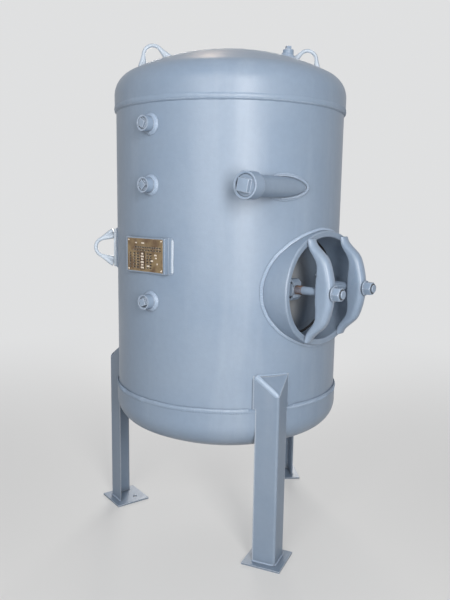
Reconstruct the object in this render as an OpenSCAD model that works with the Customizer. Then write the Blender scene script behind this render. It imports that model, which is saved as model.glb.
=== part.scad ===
// Vertical pressure tank on three angle legs: a rolled shell with lapped dished ends,
// an oval manway held shut by two yokes, a tangential inlet, side couplings and lifting lugs.
// Millimetres. The origin is on the tank's axis at floor level, +Z is up.
// A bearing of 0 faces -Y and a positive bearing turns towards +X.

/* [Shell] */
// Outside diameter of the rolled shell
shell_od = 762; // [700:1:900]
// Plate thickness of the shell
shell_wall = 4.8; // [3:0.1:8]
// Height of the bottom end's seam above the floor
low_seam_z = 493.5; // [450:0.5:600]
// Distance between the two seams
seam_spacing = 914.5; // [850:0.5:1100]
// How far the shell reaches inside each end
lap = 32; // [15:1:45]

/* [Dished ends] */
// Plate thickness of the ends
head_wall = 4.8; // [3:0.1:8]
// Length of each end's straight skirt
skirt = 50; // [38:1:70]
// Outside radius of the crown
crown_r = 762; // [650:1:1000]
// Outside radius of the knuckle
knuckle_r = 76; // [50:1:110]
// Gap between the shell and the skirt that laps over it
lap_gap = 0.3; // [0.1:0.1:1]
// Size of the fillet weld at each skirt's edge
seam_weld = 6; // [3:0.5:9]
// How far each seam's bead laps onto the skirt
seam_cover = 10; // [4:0.5:16]
// How far the bead stands out from the skirt
seam_cap = 2.5; // [1:0.5:5]

/* [Manway ring and cover] */
// Bearing of the manway
manway_bearing = 50.3; // [40:0.1:60]
// Height of the manway's centre above the bottom seam
manway_rise = 364; // [330:0.5:480]
// Outside length of the oval ring
ring_length = 435; // [400:1:460]
// Outside height of the oval ring
ring_height = 359; // [330:1:390]
// Thickness of the ring's bar
ring_wall = 20; // [12:0.5:22]
// Depth of the ring along its own axis
ring_depth = 102; // [95:1:120]
// How far the ring's face stands out from the shell
ring_stand = 18.3; // [10:0.1:25]
// Size of the weld round the ring
ring_weld = 8; // [4:0.5:12]
// Thickness of the gasket
gasket_t = 6; // [3:0.5:8]
// How far the cover and gasket stay inside the ring's outer edge
cover_margin = 3; // [1:0.5:6]
// Plate thickness of the cover
cover_t = 9.5; // [6:0.5:14]
// Rise of the cover's dish
cover_rise = 26; // [15:1:35]
// Width of the cover's flat rim
cover_rim = 30; // [25:1:45]

/* [Manway yokes and bolts] */
// Distance between the two bolts
bolt_spacing = 191; // [160:1:220]
// Diameter of the bolts
bolt_d = 25.4; // [20:0.1:30]
// Length of bolt that shows past the nut
bolt_end = 6; // [3:1:20]
// Side of the bolt's square head
bolt_head = 38; // [34:1:44]
// Thickness of the bolt's head
bolt_head_t = 11; // [8:1:14]
// Distance across the flats of the nuts
nut_af = 38; // [36:0.5:44]
// Height of the nuts
nut_h = 22; // [18:0.5:27]
// Outside diameter of the washers
washer_d = 48; // [44:1:54]
// Thickness of the washers
washer_t = 4; // [2:0.5:6]
// Overall length of a yoke
yoke_length = 320; // [310:1:335]
// Width of a yoke
yoke_width = 42; // [38:1:50]
// Height of a yoke's crest above the ring's face
yoke_rise = 86; // [76:1:98]
// Radius of the crest seen from the side
yoke_crest_r = 225; // [200:5:900]
// Distance from a yoke's middle at which its shoulders begin to fall
yoke_shoulder = 95; // [60:1:110]
// Distance from a yoke's middle at which that fall would end
yoke_toe = 172; // [165:1:185]
// Height of a yoke's foot
yoke_foot = 9; // [7:0.5:14]
// Height of the clear arch under a yoke
yoke_arch = 34; // [25:1:40]
// How much lower the arch is beside the bolt
yoke_arch_dip = 4; // [0:0.5:8]
// Distance from a yoke's middle at which its arch begins to close
yoke_arch_shoulder = 75; // [60:1:90]
// Length of the clear arch under a yoke
yoke_arch_length = 290; // [270:1:300]
// Plate thickness of a yoke
yoke_wall = 9; // [6:0.5:10]
// Outside radius of a yoke's pressed corners
yoke_corner = 17; // [12:0.5:18.5]
// Clearance between a bolt's head and its clip
clip_gap = 1; // [0.5:0.1:3]
// Size of the slant at a clip's front corners
clip_slant = 10; // [6:0.5:14]
// Width of a clip along the cover
clip_width = 40; // [38:1:50]
// Plate thickness of a clip
clip_wall = 6; // [4:0.5:8]
// Distance from the ring's face to the front of the clips
clip_depth = 42; // [36:1:50]

/* [Legs] */
// Bearing of the front leg, with the others a third of a turn away
leg_bearing = 21.3; // [10:0.1:25]
// Flange width of the leg angle
leg_flange = 76.2; // [65:0.1:90]
// Thickness of the leg angle
leg_wall = 6.4; // [5:0.1:10]
// Outside radius of the leg angle's corner
leg_corner = 7; // [5.5:0.5:9]
// Height of a leg's top against the shell, above the bottom seam
leg_rise = 106.5; // [80:0.5:200]
// Slope of the cap that closes a leg
cap_slope = 45; // [30:0.5:55]
// Thickness of the cap
cap_t = 6.4; // [4:0.1:9]
// Side of the square foot plates
foot_side = 127; // [120:1:160]
// Thickness of the foot plates
foot_t = 6.4; // [5:0.1:13]
// Distance from the tank's axis to the centre of a foot plate
foot_circle_r = 381; // [375:0.5:395]
// Distance from the tank's axis to an anchor hole
anchor_circle_r = 345; // [340:0.5:352]
// Diameter of the anchor holes
anchor_d = 14.3; // [10:0.1:18]

/* [Side couplings] */
// Bearing of the row of couplings
row_bearing = -38; // [-45:0.1:-30]
// Distance of the upper coupling below the top seam
upper_drop = 65; // [50:0.5:90]
// Distance of the middle coupling below the top seam
middle_drop = 242; // [210:0.5:290]
// Height of the lower coupling above the bottom seam
lower_rise = 321.9; // [290:0.1:360]
// Outside diameter of a side coupling
side_od = 44.5; // [40:0.5:50]
// Bore of a side coupling
side_bore = 33; // [28:0.5:36]
// How far a side coupling stands out from the shell
side_reach = 34; // [28:0.5:50]
// Distance across the flats of a side plug's head
side_head_af = 21; // [15:0.5:22]
// Height of a side plug's head
side_head_h = 4; // [2:0.5:16]
// Turn of the three plug heads, from the top one down
plug_turns = [62, 45, 20];

/* [Inlet] */
// Bearing that the inlet pipe points along
inlet_bearing = -37.4; // [-45:0.1:-30]
// Distance of the inlet's axis below the top seam
inlet_drop = 243.2; // [210:0.1:280]
// Distance of the pipe's axis inside the shell's outermost line
inlet_inset = 43.6; // [39:0.1:60]
// Distance along the pipe from the tank's axis to its open end
inlet_reach = 373.6; // [350:0.1:420]
// Outside diameter of the pipe
pipe_od = 60.3; // [48:0.1:65]
// Wall of the pipe
pipe_wall = 3.9; // [2.5:0.1:6]
// Outside diameter of the pipe's coupling
inlet_od = 76.2; // [72:0.1:84]
// Length of the pipe's coupling
inlet_coupling_l = 43; // [38:0.5:60]
// Distance across the flats of the inlet plug's head
inlet_head_af = 36; // [28:0.5:40]
// Height of the inlet plug's head
inlet_head_h = 10; // [5:0.5:20]
// Turn of the inlet plug's head
inlet_turn = -11; // [-45:1:45]
// Width of the inlet's weld at the pipe's sides
inlet_weld_side = 3.5; // [2:0.5:7]
// Width of the inlet's weld above and below the pipe
inlet_weld_height = 11.5; // [8:0.5:16]

/* [Vent and drain] */
// Bearing of the vent
vent_bearing = 81; // [70:1:82]
// Distance of the vent's axis inside the shell's outside
vent_inset = 190; // [170:1:205]
// Outside diameter of the vent coupling
vent_od = 36; // [30:0.5:40]
// Bore of the vent coupling
vent_bore = 26; // [20:0.5:28]
// Height of the vent coupling above the crown beside it
vent_rise = 34; // [28:1:50]
// Distance across the flats of the vent plug's head
vent_head_af = 16; // [12:0.5:18]
// Height of the vent plug's head
vent_head_h = 12; // [8:0.5:16]
// Turn of the vent plug's head
vent_turn = 25; // [-45:1:45]
// Length of the drain coupling below the bottom end
drain_drop = 34; // [25:1:45]
// Turn of the drain plug's head
drain_turn = 45; // [-45:1:45]

/* [Welds and fits] */
// Size of the fillet weld round each coupling
coupling_weld = 8; // [4:0.5:11]
// Clearance between a plug and its coupling
thread_gap = 0.1; // [0.05:0.05:0.3]
// Depth from a coupling's face to its plug's shoulder
plug_sink = 4; // [1:0.5:6]
// Depth from a coupling's face to its plug's inner end
plug_depth = 20; // [14:0.5:24]
// Size of the chamfer at a coupling's mouth
mouth_chamfer = 2.5; // [1:0.5:3.5]

/* [Lifting lugs] */
// Bearing of the left lug, with the right one opposite
lug_bearing = -85; // [-95:1:-80]
// Distance of the top lugs inside the shell's outside
lug_inset = 132; // [115:1:150]
// Height of the lower lug's middle above the bottom seam
side_lug_rise = 466.5; // [430:0.5:540]
// Distance between the feet of a lug, centre to centre
lug_span = 98; // [84:1:108]
// Height of the crown's centre line above the plate
lug_height = 64; // [55:1:80]
// Bend radius of the crown's centre line
lug_bend = 31; // [25:1:38]
// Thickness of the bar at the crown
lug_bar = 12; // [9:0.5:14]
// Width of the flattened foot, across the bar
lug_foot_width = 21; // [16:1:34]
// Thickness of the flattened foot, in the bar's plane
lug_foot_t = 26; // [16:0.5:28]
// Thickness of the pad under the lower lug
pad_t = 12.7; // [6:0.1:16]
// Length of that pad
pad_length = 128; // [122:1:150]
// Width of that pad
pad_width = 44; // [38:1:60]

/* [Nameplate] */
// Bearing of the nameplate
plate_bearing = -40.5; // [-44:0.1:-39]
// Height of the nameplate's centre above the bottom seam
plate_rise = 462.5; // [445:0.5:500]
// Width of the brass plate
plate_width = 157; // [140:1:160]
// Height of the brass plate
plate_height = 100; // [90:1:104]
// Thickness of the brass plate
plate_t = 1; // [0.8:0.1:2]
// Width of the bracket's face
bracket_width = 172; // [164:1:190]
// Height of the bracket
bracket_height = 108; // [105:1:125]
// Thickness of the bracket's sheet
bracket_t = 3; // [2:0.5:5]
// Distance from the shell to the bracket's face at its middle
bracket_stand = 8; // [5:0.5:15]
// Width of the bracket's feet on the shell
bracket_foot = 11; // [8:1:16]

/* [Hidden] */
$fn = 96;

paint = [0.63, 0.69, 0.77];
paint_dark = [0.45, 0.50, 0.57];
weld_paint = [0.70, 0.76, 0.84];
rubber = [0.12, 0.12, 0.13];
brass = [0.62, 0.50, 0.30];

shell_r = shell_od / 2;
high_seam_z = low_seam_z + seam_spacing;
manway_z = low_seam_z + manway_rise;
leg_top_z = low_seam_z + leg_rise;
upper_z = high_seam_z - upper_drop;
middle_z = high_seam_z - middle_drop;
lower_z = low_seam_z + lower_rise;
inlet_z = high_seam_z - inlet_drop;
side_lug_z = low_seam_z + side_lug_rise;
plate_z = low_seam_z + plate_rise;
head_r = shell_r + lap_gap + head_wall;
vent_r = shell_r - vent_inset;
lug_r = shell_r - lug_inset;
// Far enough to cut right through any piece
reach = 2 * shell_od;
// How far a cut runs past the faces it opens
cut = 1;

ring_face = shell_r + ring_stand;
ring_seat = ring_face - ring_depth;
ring_a = ring_length / 2;
ring_b = ring_height / 2;
// The oval is four arcs that meet tangentially
oval_end_r = (ring_b * ring_b / ring_a + ring_b) / 2;
oval_side_r = (ring_a * ring_a + ring_b * ring_b - 2 * ring_a * oval_end_r) / (2 * (ring_b - oval_end_r));
oval_end_c = ring_a - oval_end_r;
oval_side_c = oval_side_r - ring_b;

cover_face = ring_seat - gasket_t;
cover_a = ring_a - cover_margin;
cover_b = ring_b - cover_margin;
cover_steps = 48;
cover_rings = 8;
clip_front = ring_face - clip_depth;
// The slant's size on a clip's inner face, where the wall keeps its thickness
clip_inner_slant = clip_slant - (2 - sqrt(2)) * clip_wall;
clip_half = bolt_head / 2 + clip_gap + clip_inner_slant + clip_wall;
crest = ring_face + yoke_rise;
nut_seat = crest + washer_t;
bolt_hole_r = bolt_d / 2 + 1;

yoke_stations = 30;

leg_edge_r = head_r + lap_gap;
// The angle's corner, where its free edges just clear the bottom end's skirt
leg_tip = leg_flange * sin(45);
leg_apex = sqrt(pow(leg_edge_r, 2) - pow(leg_tip, 2)) + leg_tip;
leg_turns = [for (i = [0:2]) leg_bearing - 120 * i];

inlet_offset = shell_r - inlet_inset;
side_face = shell_r + side_reach;
vent_base_z = high_seam_z + skirt + crown_height(vent_r);
drain_face_z = low_seam_z - skirt - crown_height(0) - drain_drop;
inlet_bore = pipe_od;
inlet_split = inlet_reach - plug_depth - 2;

plate_face = shell_r + bracket_stand;

// Height of the crown above the end's tangent line at a distance from the axis
function crown_height(r) = sqrt(crown_r * crown_r - r * r)
    - sqrt(pow(crown_r - knuckle_r, 2) - pow(head_r - knuckle_r, 2));

// Place children at a bearing and height, with local X outward and local Y to the right
module facing(bearing, z = 0)
    translate([0, 0, z]) rotate([0, 0, bearing - 90]) children();

// Extrude a flat shape along local X, its own X becoming Y and its own Y becoming Z
module outward(from, to)
    translate([from, 0, 0]) rotate([90, 0, 90]) linear_extrude(to - from) children();

// A round bar along local X
module rod(r, from, to)
    translate([from, 0, 0]) rotate([0, 90, 0]) cylinder(r = r, h = to - from);

// The body of the shell's outside, used to fit pieces to its curve
module shell_body(grow = 0)
    cylinder(r = shell_r + grow, h = 3 * (low_seam_z + seam_spacing), center = true, $fn = 180);

// A solid skinned over rings of points; a hollow section's ends are closed in strips
module skin(rings, strips = false) {
    count = len(rings);
    size = len(rings[0]);
    last = (count - 1) * size;
    sides = [for (i = [0:count - 2], j = [0:size - 1])
        let (a = i * size + j, b = i * size + (j + 1) % size, c = b + size, d = a + size)
        each [[a, c, b], [a, d, c]]];
    ends = strips ? [for (j = [0:size / 2 - 2]) let (a = j, b = j + 1, c = size - 2 - j, d = size - 1 - j)
            each [[a, b, c], [a, c, d], [last + a, last + c, last + b], [last + a, last + d, last + c]]]
        : [[for (j = [0:size - 1]) j], [for (j = [size - 1:-1:0]) last + j]];
    polyhedron([for (ring = rings) each ring], concat(sides, ends), convexity = 6);
}

// Outline of a dished end in radius and height, filled to the axis, shrunk by a wall
module head_outline(wall = 0) {
    r = head_r - wall;
    knuckle = knuckle_r - wall;
    crown = crown_r - wall;
    drop = sqrt(pow(crown_r - knuckle_r, 2) - pow(head_r - knuckle_r, 2));
    turn = atan2(head_r - knuckle_r, drop);
    far = crown_r + shell_od;
    hinge = [head_r - knuckle_r, 0];
    // A hair's height that joins the skirt to the crown
    joint = 0.01;
    out = [hinge[0] + far * sin(turn), far * cos(turn)];
    translate([0, -skirt]) square([r, skirt]);
    square([hinge[0], joint]);
    intersection() {
        translate([0, -drop]) circle(r = crown, $fn = 360);
        polygon([[0, 0], hinge, out, [0, far]]);
    }
    intersection() {
        translate(hinge) circle(r = knuckle, $fn = 180);
        polygon([hinge, [far, 0], [far, far], out]);
    }
}

// A dished end that opens downward, with its skirt's edge at height 0
module dished_end()
    translate([0, 0, skirt]) rotate_extrude($fn = 180) difference() {
        head_outline();
        translate([0, -cut]) head_outline(head_wall);
        translate([0, cut - skirt - head_wall]) square([head_r - head_wall, skirt]);
    }

// Weld round a skirt's edge, from the shell to the skirt, with that edge at height 0
module seam_bead()
    rotate_extrude($fn = 180) polygon([[shell_r, 0], [shell_r, -seam_weld],
        [head_r, -0.6 * seam_weld], [head_r + 0.8 * seam_cap, 0], [head_r + seam_cap, 0.3 * seam_cover],
        [head_r + 0.7 * seam_cap, 0.7 * seam_cover], [head_r, seam_cover], [head_r, 0]]);

module shell() color(paint)
    difference() {
        translate([0, 0, low_seam_z - lap])
            cylinder(r = shell_r, h = seam_spacing + 2 * lap, $fn = 180);
        translate([0, 0, low_seam_z - lap - cut])
            cylinder(r = shell_r - shell_wall, h = seam_spacing + 2 * (lap + cut), $fn = 180);
        facing(manway_bearing, manway_z) outward(ring_seat, reach) oval();
        for (z = [upper_z, middle_z, lower_z])
            facing(row_bearing, z) rod(side_bore / 2, shell_r / 2, reach);
        facing(inlet_bearing, inlet_z) translate([0, inlet_offset, 0]) rod(pipe_od / 2 - pipe_wall, 0, reach);
    }

module top_head() color(paint)
    difference() {
        translate([0, 0, high_seam_z]) dished_end();
        facing(vent_bearing) translate([vent_r, 0, high_seam_z]) cylinder(r = vent_bore / 2, h = reach);
    }

module bottom_head() color(paint)
    difference() {
        translate([0, 0, low_seam_z]) mirror([0, 0, 1]) dished_end();
        cylinder(r = side_bore / 2, h = low_seam_z);
    }

module top_seam_weld() color(weld_paint)
    translate([0, 0, high_seam_z]) seam_bead();

module bottom_seam_weld() color(weld_paint)
    difference() {
        translate([0, 0, low_seam_z]) mirror([0, 0, 1]) seam_bead();
        for (turn = leg_turns)
            facing(turn) leg_shape();
    }

// The manway's oval, long way along X, grown or shrunk evenly
module oval(grow = 0) {
    far = 3 * oval_side_r;
    lean = [oval_end_c, oval_side_c] / (oval_side_r - oval_end_r);
    for (side = [-1, 1])
        translate([side * oval_end_c, 0]) circle(r = oval_end_r + grow, $fn = 120);
    intersection() {
        translate([0, -oval_side_c]) circle(r = oval_side_r + grow, $fn = 180);
        translate([0, oval_side_c]) circle(r = oval_side_r + grow, $fn = 180);
        polygon([[oval_end_c, 0], [oval_end_c + far * lean[0], far * lean[1]],
            [-oval_end_c - far * lean[0], far * lean[1]], [-oval_end_c, 0],
            [-oval_end_c - far * lean[0], -far * lean[1]], [oval_end_c + far * lean[0], -far * lean[1]]]);
    }
}

module manway_ring() color(paint)
    facing(manway_bearing, manway_z) outward(ring_seat, ring_face) difference() {
        oval();
        oval(-ring_wall);
    }

// Two passes of weld in the corner between the ring and the shell
module manway_weld() color(weld_paint)
    facing(manway_bearing, manway_z) difference() {
        union() {
            intersection() {
                shell_body(ring_weld / 2);
                outward(shell_r / 2, ring_face) oval(ring_weld);
            }
            intersection() {
                shell_body(ring_weld);
                outward(shell_r / 2, ring_face) oval(ring_weld / 2);
            }
        }
        shell_body();
        outward(0, reach) oval();
    }

module manway_gasket() color(rubber)
    facing(manway_bearing, manway_z) outward(cover_face, ring_seat) difference() {
        oval(-cover_margin);
        oval(-ring_wall - cover_margin);
    }

// How far the cover's dish rises, at a share of the way from its centre to its rim
function dish(share) = share >= 1 ? 0 : cover_rise * (1 - share * share);

// A ring of points on the cover, between its centre and its edge
function cover_ring(share, lift) = let (a = (cover_a - cover_rim) * share, b = (cover_b - cover_rim) * share)
    [for (i = [0:cover_steps - 1]) let (turn = 360 * i / cover_steps)
        [cover_face + lift, a * cos(turn), b * sin(turn)]];

function cover_edge(lift) = [for (i = [0:cover_steps - 1]) let (turn = 360 * i / cover_steps)
    [cover_face + lift, cover_a * cos(turn), cover_b * sin(turn)]];

// The oval pressed cover, dished towards the outside
module cover_solid(thick = cover_t) {
    shares = [for (i = [1:cover_rings]) i / cover_rings];
    skin(concat(
        [for (share = shares) cover_ring(share, dish(share) - thick)],
        [cover_edge(-thick), cover_edge(0)],
        [for (i = [cover_rings - 1:-1:0]) cover_ring(shares[i], dish(shares[i]))]));
}

module manway_cover() color(paint_dark)
    facing(manway_bearing, manway_z) cover_solid();

// Place children at one of the two bolts, local X along the bolt
module at_bolt(side)
    facing(manway_bearing, manway_z) translate([0, side * bolt_spacing / 2, 0]) children();

// A clip's outline in depth and height, or the room inside it
module clip_outline(wall = 0) {
    slant = wall > 0 ? clip_inner_slant : clip_slant;
    front = clip_front - wall;
    half = clip_half - wall;
    polygon([[cover_face - wall, -half], [front - slant, -half], [front, slant - half],
        [front, half - slant], [front - slant, half], [cover_face - wall, half]]);
}

// A bridge welded to the cover, whose slot lets the bolt's head in from the ring's end
module clip(side) color(paint_dark)
    difference() {
        at_bolt(side) translate([0, clip_width / 2, 0]) rotate([90, 0, 0])
            linear_extrude(clip_width) difference() {
                clip_outline();
                clip_outline(clip_wall);
            }
        at_bolt(side) {
            rod(bolt_hole_r, cover_face, reach);
            translate([cover_face, side > 0 ? 0 : -clip_width, -bolt_hole_r])
                cube([reach, clip_width, 2 * bolt_hole_r]);
        }
        facing(manway_bearing, manway_z) cover_solid(4 * cover_t);
    }

module left_clip() clip(-1);
module right_clip() clip(1);

// Square-headed bolt, its head behind the clip's lips
module bolt(side) color(paint_dark)
    at_bolt(side) {
        translate([clip_front - clip_wall - bolt_head_t, -bolt_head / 2, -bolt_head / 2])
            cube([bolt_head_t, bolt_head, bolt_head]);
        rod(bolt_d / 2, clip_front - clip_wall - bolt_head_t, nut_seat + nut_h + bolt_end);
    }

module left_bolt() bolt(-1);
module right_bolt() bolt(1);

// A smooth fall from 1 to 0 as a distance passes from one mark to another
function fall(distance, from, to) = (1 + cos(180 * max(0, min(1, (distance - from) / (to - from))))) / 2;

// Height of a yoke's crest above the ring's face, along its length
function yoke_top(z) = yoke_foot
    + (yoke_rise - yoke_foot - z * z / (2 * yoke_crest_r)) * fall(abs(z), yoke_shoulder, yoke_toe);

// Height of the free edges of a yoke's flanges above the ring's face
function yoke_edge(z) = (yoke_arch - yoke_arch_dip * fall(abs(z), 0, yoke_arch_shoulder))
    * fall(abs(z), yoke_arch_shoulder, yoke_arch_length / 2);

// Steepness of the crest, to keep the plate's thickness on a slope
function yoke_slope(z) = yoke_top(z + 0.5) - yoke_top(z - 0.5);

// Half of a pressed U section, from the free edge up to the middle of the crest
function yoke_half(half, corner, edge, top) = concat([[edge, half]],
    [for (i = [0:5]) let (turn = 90 * i / 5)
        [top - corner + corner * sin(turn), half - corner + corner * cos(turn)]]);

function mirror_half(points) = [for (i = [len(points) - 1:-1:0]) [points[i][0], -points[i][1]]];

function yoke_ring(z) = let (edge = yoke_edge(z), top = yoke_top(z),
        corner = min(yoke_corner, top - edge - 1),
        wall = yoke_wall * sqrt(1 + pow(yoke_slope(z), 2)), inner = max(top - wall, edge + 1.5),
        inner_corner = min(yoke_corner - yoke_wall, inner - edge - 0.5),
        outer_half = yoke_half(yoke_width / 2, corner, edge, top),
        inner_half = yoke_half(yoke_width / 2 - yoke_wall, inner_corner, edge, inner),
        outline = concat(outer_half, mirror_half(outer_half),
            [for (i = [len(inner_half) - 1:-1:0]) mirror_half(inner_half)[i]],
            [for (i = [len(inner_half) - 1:-1:0]) inner_half[i]]))
    [for (p = outline) [ring_face + p[0], p[1], z]];

module yoke(side) color(paint)
    at_bolt(side) difference() {
        skin([for (i = [0:yoke_stations]) yoke_ring(yoke_length / 2 * sin(90 - 180 * i / yoke_stations))],
            strips = true);
        rod(bolt_hole_r, ring_face, reach);
    }

module left_yoke() yoke(-1);
module right_yoke() yoke(1);

module washer(side) color(paint)
    at_bolt(side) difference() {
        rod(washer_d / 2, crest, nut_seat);
        rod(bolt_hole_r, crest - cut, nut_seat + cut);
    }

module left_washer() washer(-1);
module right_washer() washer(1);

module nut(side) color(paint)
    at_bolt(side) difference() {
        intersection() {
            translate([nut_seat, 0, 0]) rotate([30, 0, 0]) rotate([0, 90, 0])
                cylinder(d = nut_af / cos(30), h = nut_h, $fn = 6);
            translate([nut_seat, 0, 0]) rotate([0, 90, 0])
                cylinder(r1 = nut_af / 2 + nut_h, r2 = nut_af / 2 * 0.98, h = nut_h, $fn = 48);
        }
        rod(bolt_d / 2 + thread_gap, nut_seat - cut, nut_seat + nut_h + cut);
    }

module left_nut() nut(-1);
module right_nut() nut(1);

// The angle's outline with its corner outward, or the triangle inside that outline
module angle_outline(filled = false, extra = 0) {
    flange = leg_flange + extra;
    translate([leg_apex, 0]) rotate(135) difference() {
        union() {
            translate([leg_corner, 0]) square([flange - leg_corner, flange]);
            translate([0, leg_corner]) square([flange, flange - leg_corner]);
            translate([leg_corner, leg_corner]) circle(r = leg_corner, $fn = 48);
        }
        if (filled)
            translate([flange, 0]) rotate(45) translate([0, -flange]) square(3 * flange);
        else
            translate([leg_wall, leg_wall]) square(flange);
    }
}

// The part of space below the cap's top, or between its two faces
module cap_space(slab = false) {
    fall = tan(cap_slope);
    far = leg_apex - shell_r + leg_flange;
    drop = cap_t / cos(cap_slope);
    top = [[shell_r - leg_flange, leg_top_z + leg_flange * fall], [shell_r + far, leg_top_z - far * fall]];
    low = slab ? [[top[1][0], top[1][1] - drop], [top[0][0], top[0][1] - drop]]
        : [[top[1][0], -cut], [top[0][0], -cut]];
    rotate([90, 0, 0]) linear_extrude(4 * leg_flange, center = true) polygon(concat(top, low));
}

// Angle and cap together, before they are fitted to the tank
module leg_shape(extra = 0) {
    intersection() {
        translate([0, 0, foot_t]) linear_extrude(leg_top_z) angle_outline(extra = extra);
        cap_space();
    }
    intersection() {
        translate([0, 0, foot_t]) linear_extrude(leg_top_z) angle_outline(filled = true, extra = extra);
        cap_space(slab = true);
    }
}

// A leg whose flanges and cap are drawn out to the shell above the bottom end's skirt
module leg(turn) color(paint)
    facing(turn) difference() {
        union() {
            leg_shape();
            intersection() {
                leg_shape(2 * leg_wall);
                translate([0, 0, low_seam_z + seam_weld]) cylinder(r = reach, h = leg_top_z);
            }
        }
        shell_body();
        cylinder(r = leg_edge_r, h = 2 * low_seam_z, center = true, $fn = 180);
        translate([0, 0, low_seam_z - cut]) cylinder(r = leg_edge_r, h = seam_weld + cut, $fn = 180);
    }

module front_leg() leg(leg_turns[0]);
module left_leg() leg(leg_turns[1]);
module rear_leg() leg(leg_turns[2]);

module foot(turn) color(paint)
    facing(turn) difference() {
        translate([foot_circle_r, 0, foot_t / 2]) rotate(45)
            cube([foot_side, foot_side, foot_t], center = true);
        translate([anchor_circle_r, 0, -cut]) cylinder(d = anchor_d, h = foot_t + 2 * cut);
    }

module front_foot() foot(leg_turns[0]);
module left_foot() foot(leg_turns[1]);
module rear_foot() foot(leg_turns[2]);

// Fillet weld round a tube that stands on a curved plate at height 0 on local Z, a little bulged
module fillet(r, size)
    rotate_extrude() polygon([[r - 0.5, -r], [r + size, -r], [r + size, 0], [r + 0.62 * size, 0.45 * size],
        [r + 0.2 * size, 0.85 * size], [r - 0.5, size]]);

// The cone that opens a coupling's mouth, with its face at height 0 on local Z
module mouth(bore)
    translate([0, 0, -mouth_chamfer])
        cylinder(r1 = bore / 2, r2 = bore / 2 + 2 * mouth_chamfer, h = 2 * mouth_chamfer);

// A coupling on the shell's side with the weld that holds it
module side_coupling(z) color(paint)
    facing(row_bearing, z) difference() {
        union() {
            rod(side_od / 2, shell_r / 2, side_face);
            translate([shell_r, 0, 0]) rotate([0, 90, 0]) fillet(side_od / 2, coupling_weld);
        }
        shell_body();
        rod(side_bore / 2, 0, reach);
        translate([side_face, 0, 0]) rotate([0, 90, 0]) mouth(side_bore);
    }

module upper_coupling() side_coupling(upper_z);
module middle_coupling() side_coupling(middle_z);
module lower_coupling() side_coupling(lower_z);

// A plug whose square head rises from a sunk shoulder, with the coupling's face at height 0 on local Z
module plug(bore, af, head_h, turn) {
    thread_r = bore / 2 - thread_gap;
    bevel = mouth_chamfer / 2;
    translate([0, 0, -plug_depth]) cylinder(r = thread_r, h = plug_depth - plug_sink - bevel);
    translate([0, 0, -plug_sink - bevel]) cylinder(r1 = thread_r, r2 = thread_r - bevel, h = bevel);
    rotate(turn) translate([-af / 2, -af / 2, -plug_depth / 2]) cube([af, af, head_h + plug_depth / 2]);
}

module side_plug(i, z) color(paint)
    facing(row_bearing, z) translate([side_face, 0, 0]) rotate([0, 90, 0])
        plug(side_bore, side_head_af, side_head_h, plug_turns[i]);

module upper_plug() side_plug(0, upper_z);
module middle_plug() side_plug(1, middle_z);
module lower_plug() side_plug(2, lower_z);

// Place children on the inlet's axis, local X pointing out along the pipe
module on_inlet()
    facing(inlet_bearing, inlet_z) translate([0, inlet_offset, 0]) children();

module inlet_pipe() color(paint)
    difference() {
        on_inlet() difference() {
            rod(pipe_od / 2, 0, inlet_split);
            rod(pipe_od / 2 - pipe_wall, -cut, reach);
        }
        shell_body();
    }

module inlet_coupling() color(paint)
    on_inlet() difference() {
        rod(inlet_od / 2, inlet_reach - inlet_coupling_l, inlet_reach);
        rod(inlet_bore / 2, 0, reach);
        translate([inlet_reach, 0, 0]) rotate([0, 90, 0]) mouth(inlet_bore);
    }

module inlet_plug() color(paint)
    on_inlet() translate([inlet_reach, 0, 0]) rotate([0, 90, 0])
        plug(inlet_bore, inlet_head_af, inlet_head_h, inlet_turn);

// One pass of weld round the inlet pipe, taller than it is wide
module inlet_weld_pass(share, grow)
    intersection() {
        r = pipe_od / 2 + share * inlet_weld_side;
        lift = share * (inlet_weld_height - inlet_weld_side);
        shell_body(grow);
        on_inlet() {
            for (way = [-1, 1])
                translate([0, 0, way * lift]) rod(r, 0, inlet_split);
            translate([0, -r, -lift]) cube([inlet_split, 2 * r, 2 * lift]);
        }
    }

module inlet_weld() color(weld_paint)
    difference() {
        union() {
            inlet_weld_pass(1, coupling_weld / 2);
            inlet_weld_pass(0.5, coupling_weld);
        }
        shell_body();
        on_inlet() rod(pipe_od / 2, -cut, reach);
    }

// Solid body of the top end's crown, to fit pieces to its curve
module crown_body()
    translate([0, 0, high_seam_z + skirt + crown_height(0) - crown_r]) sphere(r = crown_r, $fn = 180);

module vent_coupling() color(paint)
    difference() {
        facing(vent_bearing) translate([vent_r, 0, vent_base_z]) {
            translate([0, 0, -vent_rise]) cylinder(r = vent_od / 2, h = 2 * vent_rise);
            rotate([0, asin(vent_r / crown_r), 0]) fillet(vent_od / 2, coupling_weld);
        }
        crown_body();
        facing(vent_bearing) translate([vent_r, 0, 0]) cylinder(r = vent_bore / 2, h = 2 * reach);
        facing(vent_bearing) translate([vent_r, 0, vent_base_z + vent_rise]) mouth(vent_bore);
    }

module vent_plug() color(paint)
    facing(vent_bearing) translate([vent_r, 0, vent_base_z + vent_rise])
        plug(vent_bore, vent_head_af, vent_head_h, vent_turn);

module drain_coupling() color(paint)
    difference() {
        union() {
            translate([0, 0, drain_face_z]) cylinder(r = side_od / 2, h = 2 * drain_drop);
            translate([0, 0, drain_face_z + drain_drop]) mirror([0, 0, 1]) fillet(side_od / 2, coupling_weld);
        }
        translate([0, 0, drain_face_z + drain_drop + crown_r]) sphere(r = crown_r, $fn = 180);
        cylinder(r = side_bore / 2, h = low_seam_z);
        translate([0, 0, drain_face_z]) mirror([0, 0, 1]) mouth(side_bore);
    }

module drain_plug() color(paint)
    translate([0, 0, drain_face_z]) mirror([0, 0, 1]) plug(side_bore, side_head_af, side_head_h, drain_turn);

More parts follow.
